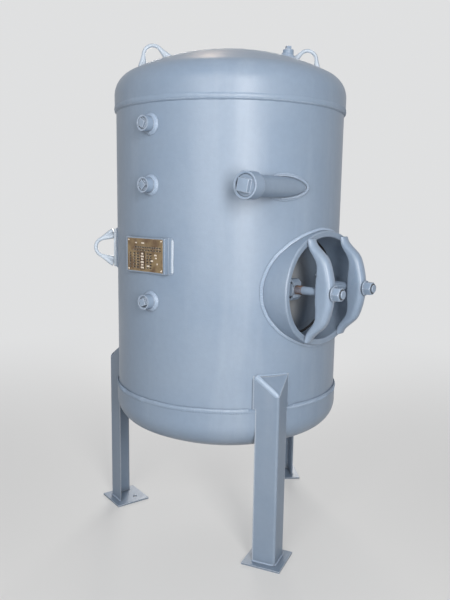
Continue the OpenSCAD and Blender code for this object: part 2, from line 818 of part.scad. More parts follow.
// Centre line of a lug in its own plane: two splayed legs joined by a round crown
lug_foot = [lug_span / 2, 0];
lug_centre = lug_height - lug_bend;
lug_leave = -atan2(lug_centre, lug_foot[0]) + acos(lug_bend / norm([lug_foot[0], lug_centre]));
lug_joint = [lug_bend * cos(lug_leave), lug_centre + lug_bend * sin(lug_leave)];
// The feet start below the plate's face, by a share of a leg's length, and are then cut to its curve
lug_sunk = 0.3;
lug_root = lug_foot + (lug_foot - lug_joint) * lug_sunk;
// Share of the path that each straight leg takes, and how far from the crown a foot begins to flatten
lug_straight = 0.3;
lug_flat = 0.34;
// Below 1 the bar's section is squarer than an ellipse
lug_squareness = 0.6;
lug_steps = 24;

function lug_path(t) = t < lug_straight ? lug_root + (lug_joint - lug_root) * t / lug_straight
    : t > 1 - lug_straight
        ? let (p = lug_root + (lug_joint - lug_root) * (1 - t) / lug_straight) [-p[0], p[1]]
    : let (turn = lug_leave + (180 - 2 * lug_leave) * (t - lug_straight) / (1 - 2 * lug_straight))
        [lug_bend * cos(turn), lug_centre + lug_bend * sin(turn)];

// A rounded section square to the path, wide and thick at the feet and round at the crown
function lug_ring(t) = let (p = lug_path(t),
        ahead = lug_path(min(t + 0.01, 1)), behind = lug_path(max(t - 0.01, 0)),
        along = (ahead - behind) / norm(ahead - behind), side = [along[1], -along[0]],
        blend = 1 - fall(0.5 - abs(t - 0.5), 0, lug_flat),
        width = lug_foot_width + (lug_bar - lug_foot_width) * blend,
        thick = lug_foot_t + (lug_bar - lug_foot_t) * blend)
    [for (i = [0:11]) let (turn = 30 * i, c = cos(turn), s = sin(turn),
            u = sign(c) * pow(abs(c), lug_squareness) * thick / 2,
            v = sign(s) * pow(abs(s), lug_squareness) * width / 2)
        [p[0] + side[0] * u, v, p[1] + side[1] * u]];

module lug_bar_shape()
    skin([for (i = [0:lug_steps]) lug_ring(i / lug_steps)]);

module top_lug(bearing) color(weld_paint)
    difference() {
        facing(bearing) translate([lug_r, 0, high_seam_z + skirt + crown_height(lug_r)])
            rotate([0, asin(lug_r / crown_r), 0]) lug_bar_shape();
        crown_body();
    }

module left_lifting_lug() top_lug(lug_bearing);
module right_lifting_lug() top_lug(lug_bearing + 180);

// The lower lug stands on a pad on the shell's side, with its arch upright
module side_lug() color(weld_paint)
    difference() {
        facing(lug_bearing, side_lug_z) {
            translate([shell_r / 2, -pad_width / 2, -pad_length / 2])
                cube([shell_r / 2 + pad_t, pad_width, pad_length]);
            intersection() {
                translate([shell_r + pad_t, 0, 0]) rotate([0, 90, 0]) lug_bar_shape();
                translate([shell_r, -pad_width, -pad_length]) cube([reach, 2 * pad_width, 2 * pad_length]);
            }
        }
        shell_body();
    }

// Stand-off sheet with two sides that run back to the shell
module nameplate_bracket() color(paint) {
    low = -bracket_height / 2;
    foot = bracket_foot + bracket_t;
    facing(plate_bearing, plate_z) difference() {
        union() {
            translate([plate_face - bracket_t, -bracket_width / 2, low])
                cube([bracket_t, bracket_width, bracket_height]);
            for (side = [-1, 1])
                translate([shell_r / 2, side * (bracket_width - bracket_t) / 2 - bracket_t / 2, low])
                    cube([plate_face - shell_r / 2, bracket_t, bracket_height]);
            intersection() {
                shell_body(bracket_t);
                for (side = [-1, 1])
                    translate([shell_r / 2, side * (bracket_width + bracket_foot) / 2 - foot / 2, low])
                        cube([shell_r, foot, bracket_height]);
            }
        }
        shell_body();
    }
}

module nameplate() color(brass)
    facing(plate_bearing, plate_z) translate([plate_face, -plate_width / 2, -plate_height / 2])
        cube([plate_t, plate_width, plate_height]);

shell();
top_head();
bottom_head();
top_seam_weld();
bottom_seam_weld();
manway_ring();
manway_weld();
manway_gasket();
manway_cover();
left_clip();
right_clip();
left_bolt();
right_bolt();
left_yoke();
right_yoke();
left_washer();
right_washer();
left_nut();
right_nut();
front_leg();
left_leg();
rear_leg();
front_foot();
left_foot();
rear_foot();
upper_coupling();
middle_coupling();
lower_coupling();
upper_plug();
middle_plug();
lower_plug();
inlet_pipe();
inlet_coupling();
inlet_plug();
inlet_weld();
vent_coupling();
vent_plug();
drain_coupling();
drain_plug();
left_lifting_lug();
right_lifting_lug();
side_lug();
nameplate_bracket();
nameplate();
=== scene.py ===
# %% [markdown]
# The object is an upright steel pressure tank on three angle legs, painted pale blue-grey.
# Its solids come from the CAD frame and stay where they are.
# Blender gives each its finish, and remakes pieces with small forms, such as the welds and the yokes.

# %% Load the frame
from math import acos, asin, atan2, cos, exp, pi, radians, sin, sqrt

import bmesh
import bpy
from mathutils import Matrix, Vector, noise


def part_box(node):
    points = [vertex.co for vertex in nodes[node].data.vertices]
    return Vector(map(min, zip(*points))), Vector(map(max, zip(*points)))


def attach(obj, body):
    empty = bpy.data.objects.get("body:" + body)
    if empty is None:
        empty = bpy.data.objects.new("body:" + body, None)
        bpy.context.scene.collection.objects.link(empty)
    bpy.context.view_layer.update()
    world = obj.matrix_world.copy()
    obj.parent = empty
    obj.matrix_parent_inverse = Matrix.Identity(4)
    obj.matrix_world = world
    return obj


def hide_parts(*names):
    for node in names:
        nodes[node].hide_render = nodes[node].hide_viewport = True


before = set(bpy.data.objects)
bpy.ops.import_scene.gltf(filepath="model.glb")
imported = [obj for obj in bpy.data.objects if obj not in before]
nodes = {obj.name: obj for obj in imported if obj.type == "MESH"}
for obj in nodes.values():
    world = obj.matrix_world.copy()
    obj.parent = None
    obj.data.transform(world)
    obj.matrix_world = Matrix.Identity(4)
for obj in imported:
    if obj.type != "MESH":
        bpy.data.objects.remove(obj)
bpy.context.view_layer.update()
print("CAD nodes:", len(nodes))

# %% [markdown]
# The camera stands where the photographer stood: a little over two metres in front of the tank's axis, at
# chest height, tilted down and rolled by less than a degree.

# %% Camera
CAMERA_PLACE = Vector((0.0, -2.2175, 1.1173))
CAMERA_PITCH = radians(8.75)
CAMERA_YAW = radians(-0.21)
CAMERA_ROLL = radians(0.84)
CAMERA_LENS = 37.93

camera_data = bpy.data.cameras.new("camera")
camera_data.lens = CAMERA_LENS
camera_data.sensor_width = 36.0
camera = bpy.data.objects.new("camera", camera_data)
camera.matrix_world = (Matrix.Translation(CAMERA_PLACE)
                       @ Matrix.Rotation(-CAMERA_YAW, 4, "Z")
                       @ Matrix.Rotation(pi / 2 - CAMERA_PITCH, 4, "X")
                       @ Matrix.Rotation(CAMERA_ROLL, 4, "Z"))
bpy.context.scene.collection.objects.link(camera)
bpy.context.scene.camera = camera
print("Camera height in metres:", round(CAMERA_PLACE.z, 3))

# %% [markdown]
# A studio stands in for the workshop: a pale floor that runs far past the view, a pale world and soft lamps.
# The floor and the world look pale to the camera and to glossy rays only, so that they make the picture
# bright without adding light to the tank.

# %% A helper for node trees
def add(tree, kind, **settings):
    """A new node with some of its settings or sockets given by name."""
    made = tree.nodes.new(kind)
    for key, value in settings.items():
        if hasattr(made, key):
            setattr(made, key, value)
        else:
            made.inputs[key.replace("_", " ")].default_value = value
    return made

# %% Floor
FLOOR_HALF = 14.0
FLOOR_COLOUR = (0.66, 0.66, 0.65, 1.0)
FLOOR_BOUNCE = (0.22, 0.21, 0.20, 1.0)

floor_mesh = bpy.data.meshes.new("floor")
floor_bm = bmesh.new()
bmesh.ops.create_grid(floor_bm, x_segments=1, y_segments=1, size=FLOOR_HALF)
floor_bm.to_mesh(floor_mesh)
floor_bm.free()
floor = bpy.data.objects.new("floor", floor_mesh)
bpy.context.scene.collection.objects.link(floor)

BACKDROP = (0.74, 0.745, 0.75, 1.0)
FADE_FROM, FADE_TO = 0.7, 3.4
FADE_NEAR = 0.45

def backdrop_rays(tree):
    """1 for camera, glossy and transmission rays, so that metal and glass show the backdrop too."""
    path = add(tree, "ShaderNodeLightPath")
    total = path.outputs["Is Camera Ray"]
    for label in ("Is Glossy Ray", "Is Transmission Ray"):
        both = add(tree, "ShaderNodeMath", operation="MAXIMUM")
        tree.links.new(total, both.inputs[0])
        tree.links.new(path.outputs[label], both.inputs[1])
        total = both.outputs["Value"]
    return total

floor_material = bpy.data.materials.new("floor")
floor_material.use_nodes = True
floor_tree = floor_material.node_tree
floor_shader = floor_tree.nodes["Principled BSDF"]
floor_seen = backdrop_rays(floor_tree)
floor_colour = add(floor_tree, "ShaderNodeMix", data_type="RGBA", A=FLOOR_BOUNCE, B=FLOOR_COLOUR)
floor_tree.links.new(floor_seen, floor_colour.inputs["Factor"])
floor_tree.links.new(floor_colour.outputs["Result"], floor_shader.inputs["Base Color"])
floor_shader.inputs["Roughness"].default_value = 0.7
floor_place = add(floor_tree, "ShaderNodeTexCoord")
floor_distance = add(floor_tree, "ShaderNodeVectorMath", operation="LENGTH")
floor_tree.links.new(floor_place.outputs["Object"], floor_distance.inputs[0])
floor_fade = add(floor_tree, "ShaderNodeMapRange", interpolation_type="SMOOTHSTEP",
                 From_Min=FADE_FROM, From_Max=FADE_TO, To_Min=FADE_NEAR)
floor_tree.links.new(floor_distance.outputs["Value"], floor_fade.inputs["Value"])
floor_share = add(floor_tree, "ShaderNodeMath", operation="MULTIPLY")
floor_tree.links.new(floor_fade.outputs["Result"], floor_share.inputs[0])
floor_tree.links.new(floor_seen, floor_share.inputs[1])
floor_far = add(floor_tree, "ShaderNodeEmission", Color=BACKDROP)
floor_mix = add(floor_tree, "ShaderNodeMixShader")
floor_tree.links.new(floor_share.outputs["Value"], floor_mix.inputs["Fac"])
floor_tree.links.new(floor_shader.outputs["BSDF"], floor_mix.inputs[1])
floor_tree.links.new(floor_far.outputs["Emission"], floor_mix.inputs[2])
floor_tree.links.new(floor_mix.outputs["Shader"], floor_tree.nodes["Material Output"].inputs["Surface"])
floor_mesh.materials.append(floor_material)
print("Floor side in metres:", 2 * FLOOR_HALF)

# %% World
WORLD_LIGHT = (0.095, 0.103, 0.120, 1.0)

world = bpy.data.worlds.new("studio")
world.use_nodes = True
world_tree = world.node_tree
world_tree.nodes.clear()
world_out = add(world_tree, "ShaderNodeOutputWorld")
world_mix = add(world_tree, "ShaderNodeMixShader")
world_light = add(world_tree, "ShaderNodeBackground", Color=WORLD_LIGHT)
world_seen = add(world_tree, "ShaderNodeBackground", Color=BACKDROP)
world_tree.links.new(backdrop_rays(world_tree), world_mix.inputs["Fac"])
world_tree.links.new(world_light.outputs["Background"], world_mix.inputs[1])
world_tree.links.new(world_seen.outputs["Background"], world_mix.inputs[2])
world_tree.links.new(world_mix.outputs["Shader"], world_out.inputs["Surface"])
bpy.context.scene.world = world
print("World light:", WORLD_LIGHT[:3])

# %% [markdown]
# The shell in the photo carries broad, soft, upright bands of light. Two upright lamps left and right of the
# camera make them. The others fill the far left, the roof and the back, and one is small and warm.

# %% Lamps
def softbox(name, place, aim, size, power, colour=(1.0, 1.0, 1.0)):
    """A rectangular area lamp that looks from one point at another."""
    data = bpy.data.lights.new(name, "AREA")
    data.shape = "RECTANGLE"
    data.size, data.size_y = size
    data.energy = power
    data.color = colour
    lamp = bpy.data.objects.new(name, data)
    lamp.location = place
    lamp.rotation_euler = (Vector(aim) - Vector(place)).to_track_quat("-Z", "Y").to_euler()
    bpy.context.scene.collection.objects.link(lamp)

TANK_MIDDLE = (0.0, 0.0, 1.05)
DAYLIGHT = (1.0, 0.98, 0.96)
WARM = (1.0, 0.80, 0.62)
softbox("right_window", (0.84, -3.2, 1.60), TANK_MIDDLE, (0.8, 2.2), 86, DAYLIGHT)
softbox("left_window", (-1.05, -3.1, 1.75), TANK_MIDDLE, (1.3, 2.2), 49, DAYLIGHT)
softbox("left_fill", (-3.6, -3.0, 2.4), TANK_MIDDLE, (1.4, 2.4), 6)
softbox("back_window", (0.0, 3.3, 1.7), TANK_MIDDLE, (1.6, 2.2), 80, DAYLIGHT)
softbox("roof_light", (-0.2, -0.3, 4.4), TANK_MIDDLE, (2.2, 2.2), 5)
softbox("warm_roof_lamp", (-0.35, 2.6, 4.2), (0.0, 0.0, 1.6), (0.35, 0.25), 6, WARM)
bpy.context.scene.view_settings.view_transform = "Standard"

# %% [markdown]
# The paint is one satin enamel over everything, but it doesn't look the same everywhere.
# It is a little darker in corners, with dirt and painted shade, pale along edges, with worn paint and
# painted highlight, and broadly mottled by old touch-ups.
# Each effect is a node group that puts out a mask or a height. Every finish mixes its own share of it, and
# the shader itself stays in each material.

# %% Groups and masks
def group_tree(name, sockets_in, sockets_out):
    """A shader node group with float inputs and the outputs named as (name, kind)."""
    tree = bpy.data.node_groups.new(name, "ShaderNodeTree")
    for label, value in sockets_in:
        socket = tree.interface.new_socket(label, in_out="INPUT", socket_type="NodeSocketFloat")
        socket.default_value = value
    for label, kind in sockets_out:
        tree.interface.new_socket(label, in_out="OUTPUT", socket_type=kind)
    return tree, add(tree, "NodeGroupInput"), add(tree, "NodeGroupOutput")

FLOAT = "NodeSocketFloat"

def noise_mask(tree, place, scale, detail, low, high, stretch=(1.0, 1.0, 1.0)):
    """Noise on Object coordinates, spread between two marks into a mask from 0 to 1."""
    mapping = add(tree, "ShaderNodeMapping")
    mapping.inputs["Scale"].default_value = stretch
    tree.links.new(place, mapping.inputs["Vector"])
    texture = add(tree, "ShaderNodeTexNoise", Scale=scale, Detail=detail, Roughness=0.6)
    tree.links.new(mapping.outputs["Vector"], texture.inputs["Vector"])
    spread = add(tree, "ShaderNodeMapRange", From_Min=low, From_Max=high)
    tree.links.new(texture.outputs["Fac"], spread.inputs["Value"])
    return spread.outputs["Result"]

# %% Mottle: broad clouds and fine speckle
mottle_tree, _, mottle_out = group_tree(
    "mottle", [], [("Clouds", FLOAT), ("Speckle", FLOAT), ("Runs", FLOAT)])
mottle_place = add(mottle_tree, "ShaderNodeTexCoord").outputs["Object"]
clouds = noise_mask(mottle_tree, mottle_place, 3.2, 4.0, 0.32, 0.68)
speckle = noise_mask(mottle_tree, mottle_place, 60.0, 3.0, 0.35, 0.65)
runs = noise_mask(mottle_tree, mottle_place, 9.0, 5.0, 0.5, 0.78, stretch=(1.0, 1.0, 0.12))
for label, mask in (("Clouds", clouds), ("Speckle", speckle), ("Runs", runs)):
    mottle_tree.links.new(mask, mottle_out.inputs[label])
print("Mottle nodes:", len(mottle_tree.nodes))

# %% Edges and corners: pale edges of worn paint and painted highlight, dark corners of dirt and painted shade
edge_tree, edge_in, edge_out = group_tree(
    "edges_and_corners",
    [("Edge Width", 0.004), ("Corner Reach", 0.03)],
    [("Edge", FLOAT), ("Corner", FLOAT)])
soft_normal = add(edge_tree, "ShaderNodeBevel", samples=4)
edge_tree.links.new(edge_in.outputs["Edge Width"], soft_normal.inputs["Radius"])
true_normal = add(edge_tree, "ShaderNodeNewGeometry")
agree = add(edge_tree, "ShaderNodeVectorMath", operation="DOT_PRODUCT")
edge_tree.links.new(soft_normal.outputs["Normal"], agree.inputs[0])
edge_tree.links.new(true_normal.outputs["Normal"], agree.inputs[1])
edge_spread = add(edge_tree, "ShaderNodeMapRange", From_Min=0.995, From_Max=0.90)
edge_tree.links.new(agree.outputs["Value"], edge_spread.inputs["Value"])
# Where little light reaches, the corner mask rises. Its darkening is partly dirt and partly painted shade.
crevice = add(edge_tree, "ShaderNodeAmbientOcclusion", samples=6)
edge_tree.links.new(edge_in.outputs["Corner Reach"], crevice.inputs["Distance"])
corner_spread = add(edge_tree, "ShaderNodeMapRange", From_Min=0.85, From_Max=0.35)
edge_tree.links.new(crevice.outputs["AO"], corner_spread.inputs["Value"])
edge_tree.links.new(edge_spread.outputs["Result"], edge_out.inputs["Edge"])
edge_tree.links.new(corner_spread.outputs["Result"], edge_out.inputs["Corner"])
print("Edge nodes:", len(edge_tree.nodes))

# %% Orange peel: the fine relief of sprayed or brushed enamel
peel_tree, _, peel_out = group_tree("enamel_relief", [], [("Height", FLOAT)])
peel_place = add(peel_tree, "ShaderNodeTexCoord").outputs["Object"]
peel_fine = noise_mask(peel_tree, peel_place, 260.0, 2.0, 0.3, 0.7)
peel_broad = noise_mask(peel_tree, peel_place, 22.0, 2.0, 0.3, 0.7)
peel_sum = add(peel_tree, "ShaderNodeMath", operation="MULTIPLY_ADD")
BROAD_SHARE = 2.5
peel_sum.inputs[1].default_value = BROAD_SHARE
peel_tree.links.new(peel_broad, peel_sum.inputs[0])
peel_tree.links.new(peel_fine, peel_sum.inputs[2])
peel_tree.links.new(peel_sum.outputs["Value"], peel_out.inputs["Height"])
print("Relief nodes:", len(peel_tree.nodes))

# %% Mixing and building materials
def place_group(tree, group, **values):
    made = add(tree, "ShaderNodeGroup")
    made.node_tree = group
    for key, value in values.items():
        made.inputs[key.replace("_", " ")].default_value = value
    return made

def mix_colour(tree, mask, share, under, over):
    """Lays a colour over another where the mask is high, at most by the share."""
    amount = add(tree, "ShaderNodeMath", operation="MULTIPLY", use_clamp=True)
    amount.inputs[1].default_value = share
    tree.links.new(mask, amount.inputs[0])
    mix = add(tree, "ShaderNodeMix", data_type="RGBA")
    tree.links.new(amount.outputs["Value"], mix.inputs["Factor"])
    for socket, value in ((mix.inputs["A"], under), (mix.inputs["B"], over)):
        if isinstance(value, tuple):
            socket.default_value = (*value, 1.0)
        else:
            tree.links.new(value, socket)
    return mix.outputs["Result"]

def tuned(tree, mask, low, high):
    """Turns a mask into a number between two values."""
    spread = add(tree, "ShaderNodeMapRange", To_Min=low, To_Max=high)
    tree.links.new(mask, spread.inputs["Value"])
    return spread.outputs["Result"]

def new_material(name, roughness=0.4, metallic=0.0, specular=0.5):
    material = bpy.data.materials.new(name)
    material.use_nodes = True
    shader = material.node_tree.nodes["Principled BSDF"]
    shader.inputs["Roughness"].default_value = roughness
    shader.inputs["Metallic"].default_value = metallic
    shader.inputs["Specular IOR Level"].default_value = specular
    return material, material.node_tree, shader

def relief(tree, shader, height, strength, distance):
    bump = add(tree, "ShaderNodeBump", Strength=strength, Distance=distance)
    tree.links.new(height, bump.inputs["Height"])
    tree.links.new(bump.outputs["Normal"], shader.inputs["Normal"])

# %% [markdown]
# One enamel function makes all the paint. Welds and lugs come out paler than the shell, legs and feet a
# little darker, and each has its own share of dirt and painted shade in corners and of pale edge. The welds'
# and yokes' paler shades are painted highlight, and the legs' and feet's darker shades are painted shade.
# The lugs' pale blue is their own colour.

# %% The enamel, in one colour and several shades
PAINT = (0.214, 0.286, 0.388)
PAINT_CLOUD_LIFT = (0.030, 0.027, 0.020)
PAINT_EDGE = (0.80, 0.85, 0.92)
LUG_PAINT = (0.47, 0.55, 0.645)
DIRT_AND_SHADE = (0.105, 0.115, 0.130)

def enamel(name, paint=PAINT, shade=1.0, dirt_and_shade=0.35, edge=0.5, roughness=(0.32, 0.46), edge_width=0.004):
    """Blue-grey enamel with clouds, faint runs, pale edges of worn paint and painted highlight, and corners
    darkened by dirt and painted shade.
    """
    material, tree, shader = new_material(name)
    base = tuple(shade * c for c in paint)
    cloud = tuple(shade * (c + d) for c, d in zip(paint, PAINT_CLOUD_LIFT))
    pale = tuple(min(1.0, shade * 0.5 * (c + d)) for c, d in zip(paint, PAINT_EDGE))
    mottle = place_group(tree, mottle_tree)
    edges = place_group(tree, edge_tree, Edge_Width=edge_width, Corner_Reach=0.03)
    peel = place_group(tree, peel_tree)
    colour = mix_colour(tree, mottle.outputs["Clouds"], 1.0, base, cloud)
    colour = mix_colour(tree, mottle.outputs["Runs"], 0.18, colour, pale)
    colour = mix_colour(tree, mottle.outputs["Speckle"], 0.05, colour, DIRT_AND_SHADE)
    # The dark corners are dirt and painted shade. The pale edges are worn paint and painted highlight.
    colour = mix_colour(tree, edges.outputs["Corner"], dirt_and_shade, colour, DIRT_AND_SHADE)
    colour = mix_colour(tree, edges.outputs["Edge"], edge, colour, pale)
    tree.links.new(colour, shader.inputs["Base Color"])
    tree.links.new(tuned(tree, mottle.outputs["Clouds"], *roughness), shader.inputs["Roughness"])
    relief(tree, shader, peel.outputs["Height"], 0.25, 0.0004)
    return material

tank_paint = enamel("tank_paint")
# The welds' shade above 1 is painted highlight: a lighter copy of the tank's enamel.
weld_paint = enamel("painted_weld", shade=1.28, dirt_and_shade=0.6, edge=0.3, roughness=(0.24, 0.36),
                    edge_width=0.002)
fitting_paint = enamel("painted_fittings", shade=1.10, dirt_and_shade=0.55, edge=0.8, edge_width=0.003)
lug_paint = enamel("lug_paint", paint=LUG_PAINT, dirt_and_shade=0.7, edge=0.6, roughness=(0.25, 0.36),
                   edge_width=0.002)
# The legs' shade below 1 is painted shade: a darker copy of the tank's enamel.
leg_paint = enamel("leg_paint", shade=0.89, dirt_and_shade=0.6, edge=0.8, edge_width=0.006)
# The yokes' shade above 1 is painted highlight.
yoke_paint = enamel("yoke_paint", shade=1.10, dirt_and_shade=0.5, edge=0.8, roughness=(0.26, 0.38))
# A darker copy of the enamel, used as painted shadow in the gap beside each leg.
gap_shadow_paint = enamel("gap_shadow_paint", shade=0.60, dirt_and_shade=0.8, edge=0.0, roughness=(0.6, 0.7))
bracket_paint = enamel("bracket_paint", shade=0.98, dirt_and_shade=0.8, edge=0.9, edge_width=0.0022)
# The feet's shade below 1 is painted shade.
foot_paint = enamel("foot_paint", shade=0.90, dirt_and_shade=0.7, edge=1.0, edge_width=0.0035)
pipe_weld_paint = enamel("pipe_weld_paint", shade=1.06, dirt_and_shade=0.8, edge=0.3, roughness=(0.34, 0.5),
                         edge_width=0.002)
seam_paint = enamel("seam_paint", shade=1.04, dirt_and_shade=0.25, edge=0.0, roughness=(0.28, 0.40))
print("Enamels:", [m.name for m in bpy.data.materials if "paint" in m.name])

# %% [markdown]
# The manway's cover has only a thin coat. A plain direction along the cover, to the left as one faces the
# manway, gives a mask that fades the dark blue to a pale grey on that side. The grey is partly bare metal
# under the thin coat and partly painted light on that side. The dark blue is painted shade: the tank's blue
# at half its brightness, for the cover's place deep in the ring.

# %% The cover's thin coat, with painted light and painted shade
COVER_LEFT = (-0.639, -0.769, 0.0)
COVER_FADE_FROM, COVER_FADE_TO = -0.03, 0.11
COVER_SHADED_BLUE = (0.105, 0.142, 0.192)
BARE_AND_LIT_GREY = (0.33, 0.32, 0.30)
COVER_CLOUD = (0.17, 0.175, 0.18)
COVER_DIRT_AND_SHADE = (0.04, 0.04, 0.044)

cover_paint, cover_tree, cover_shader = new_material("cover_paint", roughness=0.55)
cover_side = add(cover_tree, "ShaderNodeVectorMath", operation="DOT_PRODUCT")
cover_side.inputs[1].default_value = COVER_LEFT
cover_place = add(cover_tree, "ShaderNodeTexCoord").outputs["Object"]
cover_tree.links.new(cover_place, cover_side.inputs[0])
cover_bare_and_lit = add(cover_tree, "ShaderNodeMapRange", From_Min=COVER_FADE_FROM, From_Max=COVER_FADE_TO)
cover_tree.links.new(cover_side.outputs["Value"], cover_bare_and_lit.inputs["Value"])
cover_mottle = place_group(cover_tree, mottle_tree)
cover_edges = place_group(cover_tree, edge_tree, Corner_Reach=0.04)
cover_colour = mix_colour(cover_tree, cover_bare_and_lit.outputs["Result"], 0.9, COVER_SHADED_BLUE, BARE_AND_LIT_GREY)
cover_colour = mix_colour(cover_tree, cover_mottle.outputs["Clouds"], 0.25, cover_colour, COVER_CLOUD)
# The occlusion mask darkens the cover's corners: partly dirt, partly painted shade.
cover_colour = mix_colour(cover_tree, cover_edges.outputs["Corner"], 0.35, cover_colour, COVER_DIRT_AND_SHADE)
cover_tree.links.new(cover_colour, cover_shader.inputs["Base Color"])
print("Cover nodes:", len(cover_tree.nodes))

# %% [markdown]
# A few places aren't painted: the bolts' thread near their heads is rusty, the gasket is black rubber, and
# the nameplate is brown, blotchy brass with dark enamel left in its sunk fields.

# %% Rust and rubber
RUST_DARK = (0.060, 0.032, 0.022)
RUST_LIGHT = (0.22, 0.125, 0.080)
RUBBER_BLACK = (0.012, 0.012, 0.013)
RUBBER_GREY = (0.035, 0.035, 0.038)

rust, rust_tree, rust_shader = new_material("rusty_thread", roughness=0.75)
rust_mottle = place_group(rust_tree, mottle_tree)
rust_colour = mix_colour(rust_tree, rust_mottle.outputs["Speckle"], 1.0, RUST_DARK, RUST_LIGHT)
rust_tree.links.new(rust_colour, rust_shader.inputs["Base Color"])
relief(rust_tree, rust_shader, rust_mottle.outputs["Speckle"], 0.6, 0.0005)

rubber, rubber_tree, rubber_shader = new_material("gasket_rubber", roughness=0.8, specular=0.3)
rubber_mottle = place_group(rubber_tree, mottle_tree)
rubber_clouds = rubber_mottle.outputs["Clouds"]
rubber_colour = mix_colour(rubber_tree, rubber_clouds, 1.0, RUBBER_BLACK, RUBBER_GREY)
rubber_tree.links.new(rubber_colour, rubber_shader.inputs["Base Color"])
relief(rubber_tree, rubber_shader, rubber_mottle.outputs["Speckle"], 0.3, 0.0003)
print("Bare finishes:", rust.name, rubber.name)

# %% Brass, and the painted shadow on the outer threads
BRASS = (0.275, 0.200, 0.108)
BRASS_BROWN = (0.130, 0.080, 0.050)
BRASS_BRIGHT = (0.90, 0.80, 0.68)
BRASS_CORNER = (0.03, 0.028, 0.025)
FIELD_ENAMEL = (0.030, 0.022, 0.017)
FIELD_BLACK = (0.012, 0.011, 0.011)
STAIN = (0.105, 0.070, 0.046)
THREAD_SHADOW_DARK = (0.018, 0.022, 0.028)
THREAD_SHADOW_LIGHT = (0.10, 0.11, 0.12)

def brass_like(name, base, over, share, roughness):
    """Dull metal with blotches of a second colour, bright edges and dark corners."""
    material, tree, shader = new_material(name, metallic=0.45)
    mottle = place_group(tree, mottle_tree)
    edges = place_group(tree, edge_tree, Edge_Width=0.0015, Corner_Reach=0.006)
    place = add(tree, "ShaderNodeTexCoord").outputs["Object"]
    blotch = noise_mask(tree, place, 34.0, 5.0, 0.42, 0.62)
    colour = mix_colour(tree, blotch, share, base, over)
    colour = mix_colour(tree, edges.outputs["Edge"], 0.7, colour, BRASS_BRIGHT)
    colour = mix_colour(tree, edges.outputs["Corner"], 0.5, colour, BRASS_CORNER)
    tree.links.new(colour, shader.inputs["Base Color"])
    tree.links.new(tuned(tree, blotch, *roughness), shader.inputs["Roughness"])
    relief(tree, shader, mottle.outputs["Speckle"], 0.2, 0.0003)
    return material

brass = brass_like("brass_plate", BRASS, BRASS_BROWN, 0.85, (0.35, 0.55))
brass_field = brass_like("brass_field", FIELD_ENAMEL, FIELD_BLACK, 0.8, (0.5, 0.7))
brass_stain = brass_like("brass_stain", STAIN, BRASS_BROWN, 0.5, (0.45, 0.65))
# Pale brass for the raised fields and rivets: partly polish, partly painted glint.
brass_polish_and_glint = brass_like("brass_polish_and_glint", BRASS_BRIGHT, BRASS, 0.25, (0.22, 0.34))

# The outer threads' dark finish is painted shadow: the shade in the mouth of each nut round the bolt's end.
thread_shadow, thread_shadow_tree, thread_shadow_shader = new_material("grimy_thread", roughness=0.6)
thread_shadow_mottle = place_group(thread_shadow_tree, mottle_tree)
thread_shadow_colour = mix_colour(thread_shadow_tree, thread_shadow_mottle.outputs["Speckle"], 1.0, THREAD_SHADOW_DARK, THREAD_SHADOW_LIGHT)
thread_shadow_tree.links.new(thread_shadow_colour, thread_shadow_shader.inputs["Base Color"])
print("Plate and thread finishes:", thread_shadow.name, brass.name, brass_field.name, brass_polish_and_glint.name)

# %% [markdown]
# Every solid gets its finish first, whole.
# A plate or a fitting from the frame has knife-sharp edges, and real ones catch a thin line of light.
# So a copy of such a solid, with doubled points merged and flat faces joined, gets a narrow bevel round its
# sharp edges and stands in for the solid.

# %% Finish by node
FINISHES = (
    ("nameplate", brass, "brass_plate"),
    ("_gasket", rubber, "gasket_rubber"),
    ("_cover", cover_paint, "inner_paint"),
    ("_clip", tank_paint, "inner_paint"),
    ("_bolt", fitting_paint, "bolt_steel"),
    ("_weld", weld_paint, "painted_weld"),
    ("_leg", leg_paint, "tank_paint"),
    ("_foot", foot_paint, "tank_paint"),
    ("_bracket", bracket_paint, "tank_paint"),
    ("_lug", lug_paint, "tank_paint"),
    (("_nut", "_washer", "_plug", "_coupling"), fitting_paint, "painted_fittings"))

def finish_of(name):
    """The material and slot of a node, from the kind of piece that its name ends with."""
    for ending, material, slot in FINISHES:
        if name.endswith(ending):
            return material, slot
    return tank_paint, "tank_paint"

for name, node in nodes.items():
    node.data.materials.clear()
    node.data.materials.append(finish_of(name)[0])
print("Finished nodes:", len(nodes))

# %% Making pieces from meshes
SMOOTH_ANGLE = radians(38)
EDGE_ANGLE = radians(28)

def piece(name, bm, material, slot, *replaced):
    """Turns a bmesh into a finished piece that rides with the tank."""
    mesh = bpy.data.meshes.new(name)
    bm.to_mesh(mesh)
    bm.free()
    mesh.materials.append(material)
    mesh.shade_smooth()
    mesh.set_sharp_from_angle(angle=SMOOTH_ANGLE)
    made = bpy.data.objects.new(name, mesh)
    bpy.context.scene.collection.objects.link(made)
    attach(made, "root")
    if replaced:
        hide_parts(*replaced)
    return made

def copy_of(name, flat=radians(0.4)):
    """A merged copy of a node's mesh, with its flat faces joined."""
    bm = bmesh.new()
    bm.from_mesh(nodes[name].data)
    bmesh.ops.remove_doubles(bm, verts=bm.verts, dist=0.00002)
    bmesh.ops.dissolve_limit(bm, angle_limit=flat, verts=bm.verts, edges=bm.edges)
    return bm

def edged(name, width):
    """A node's copy with a narrow round bevel on its sharp edges."""
    material, slot = finish_of(name)
    made = piece(name + "_edged", copy_of(name), material, slot, name)
    bevel = made.modifiers.new("edges", "BEVEL")
    bevel.width = width
    bevel.segments = 2
    bevel.limit_method = "ANGLE"
    bevel.angle_limit = EDGE_ANGLE

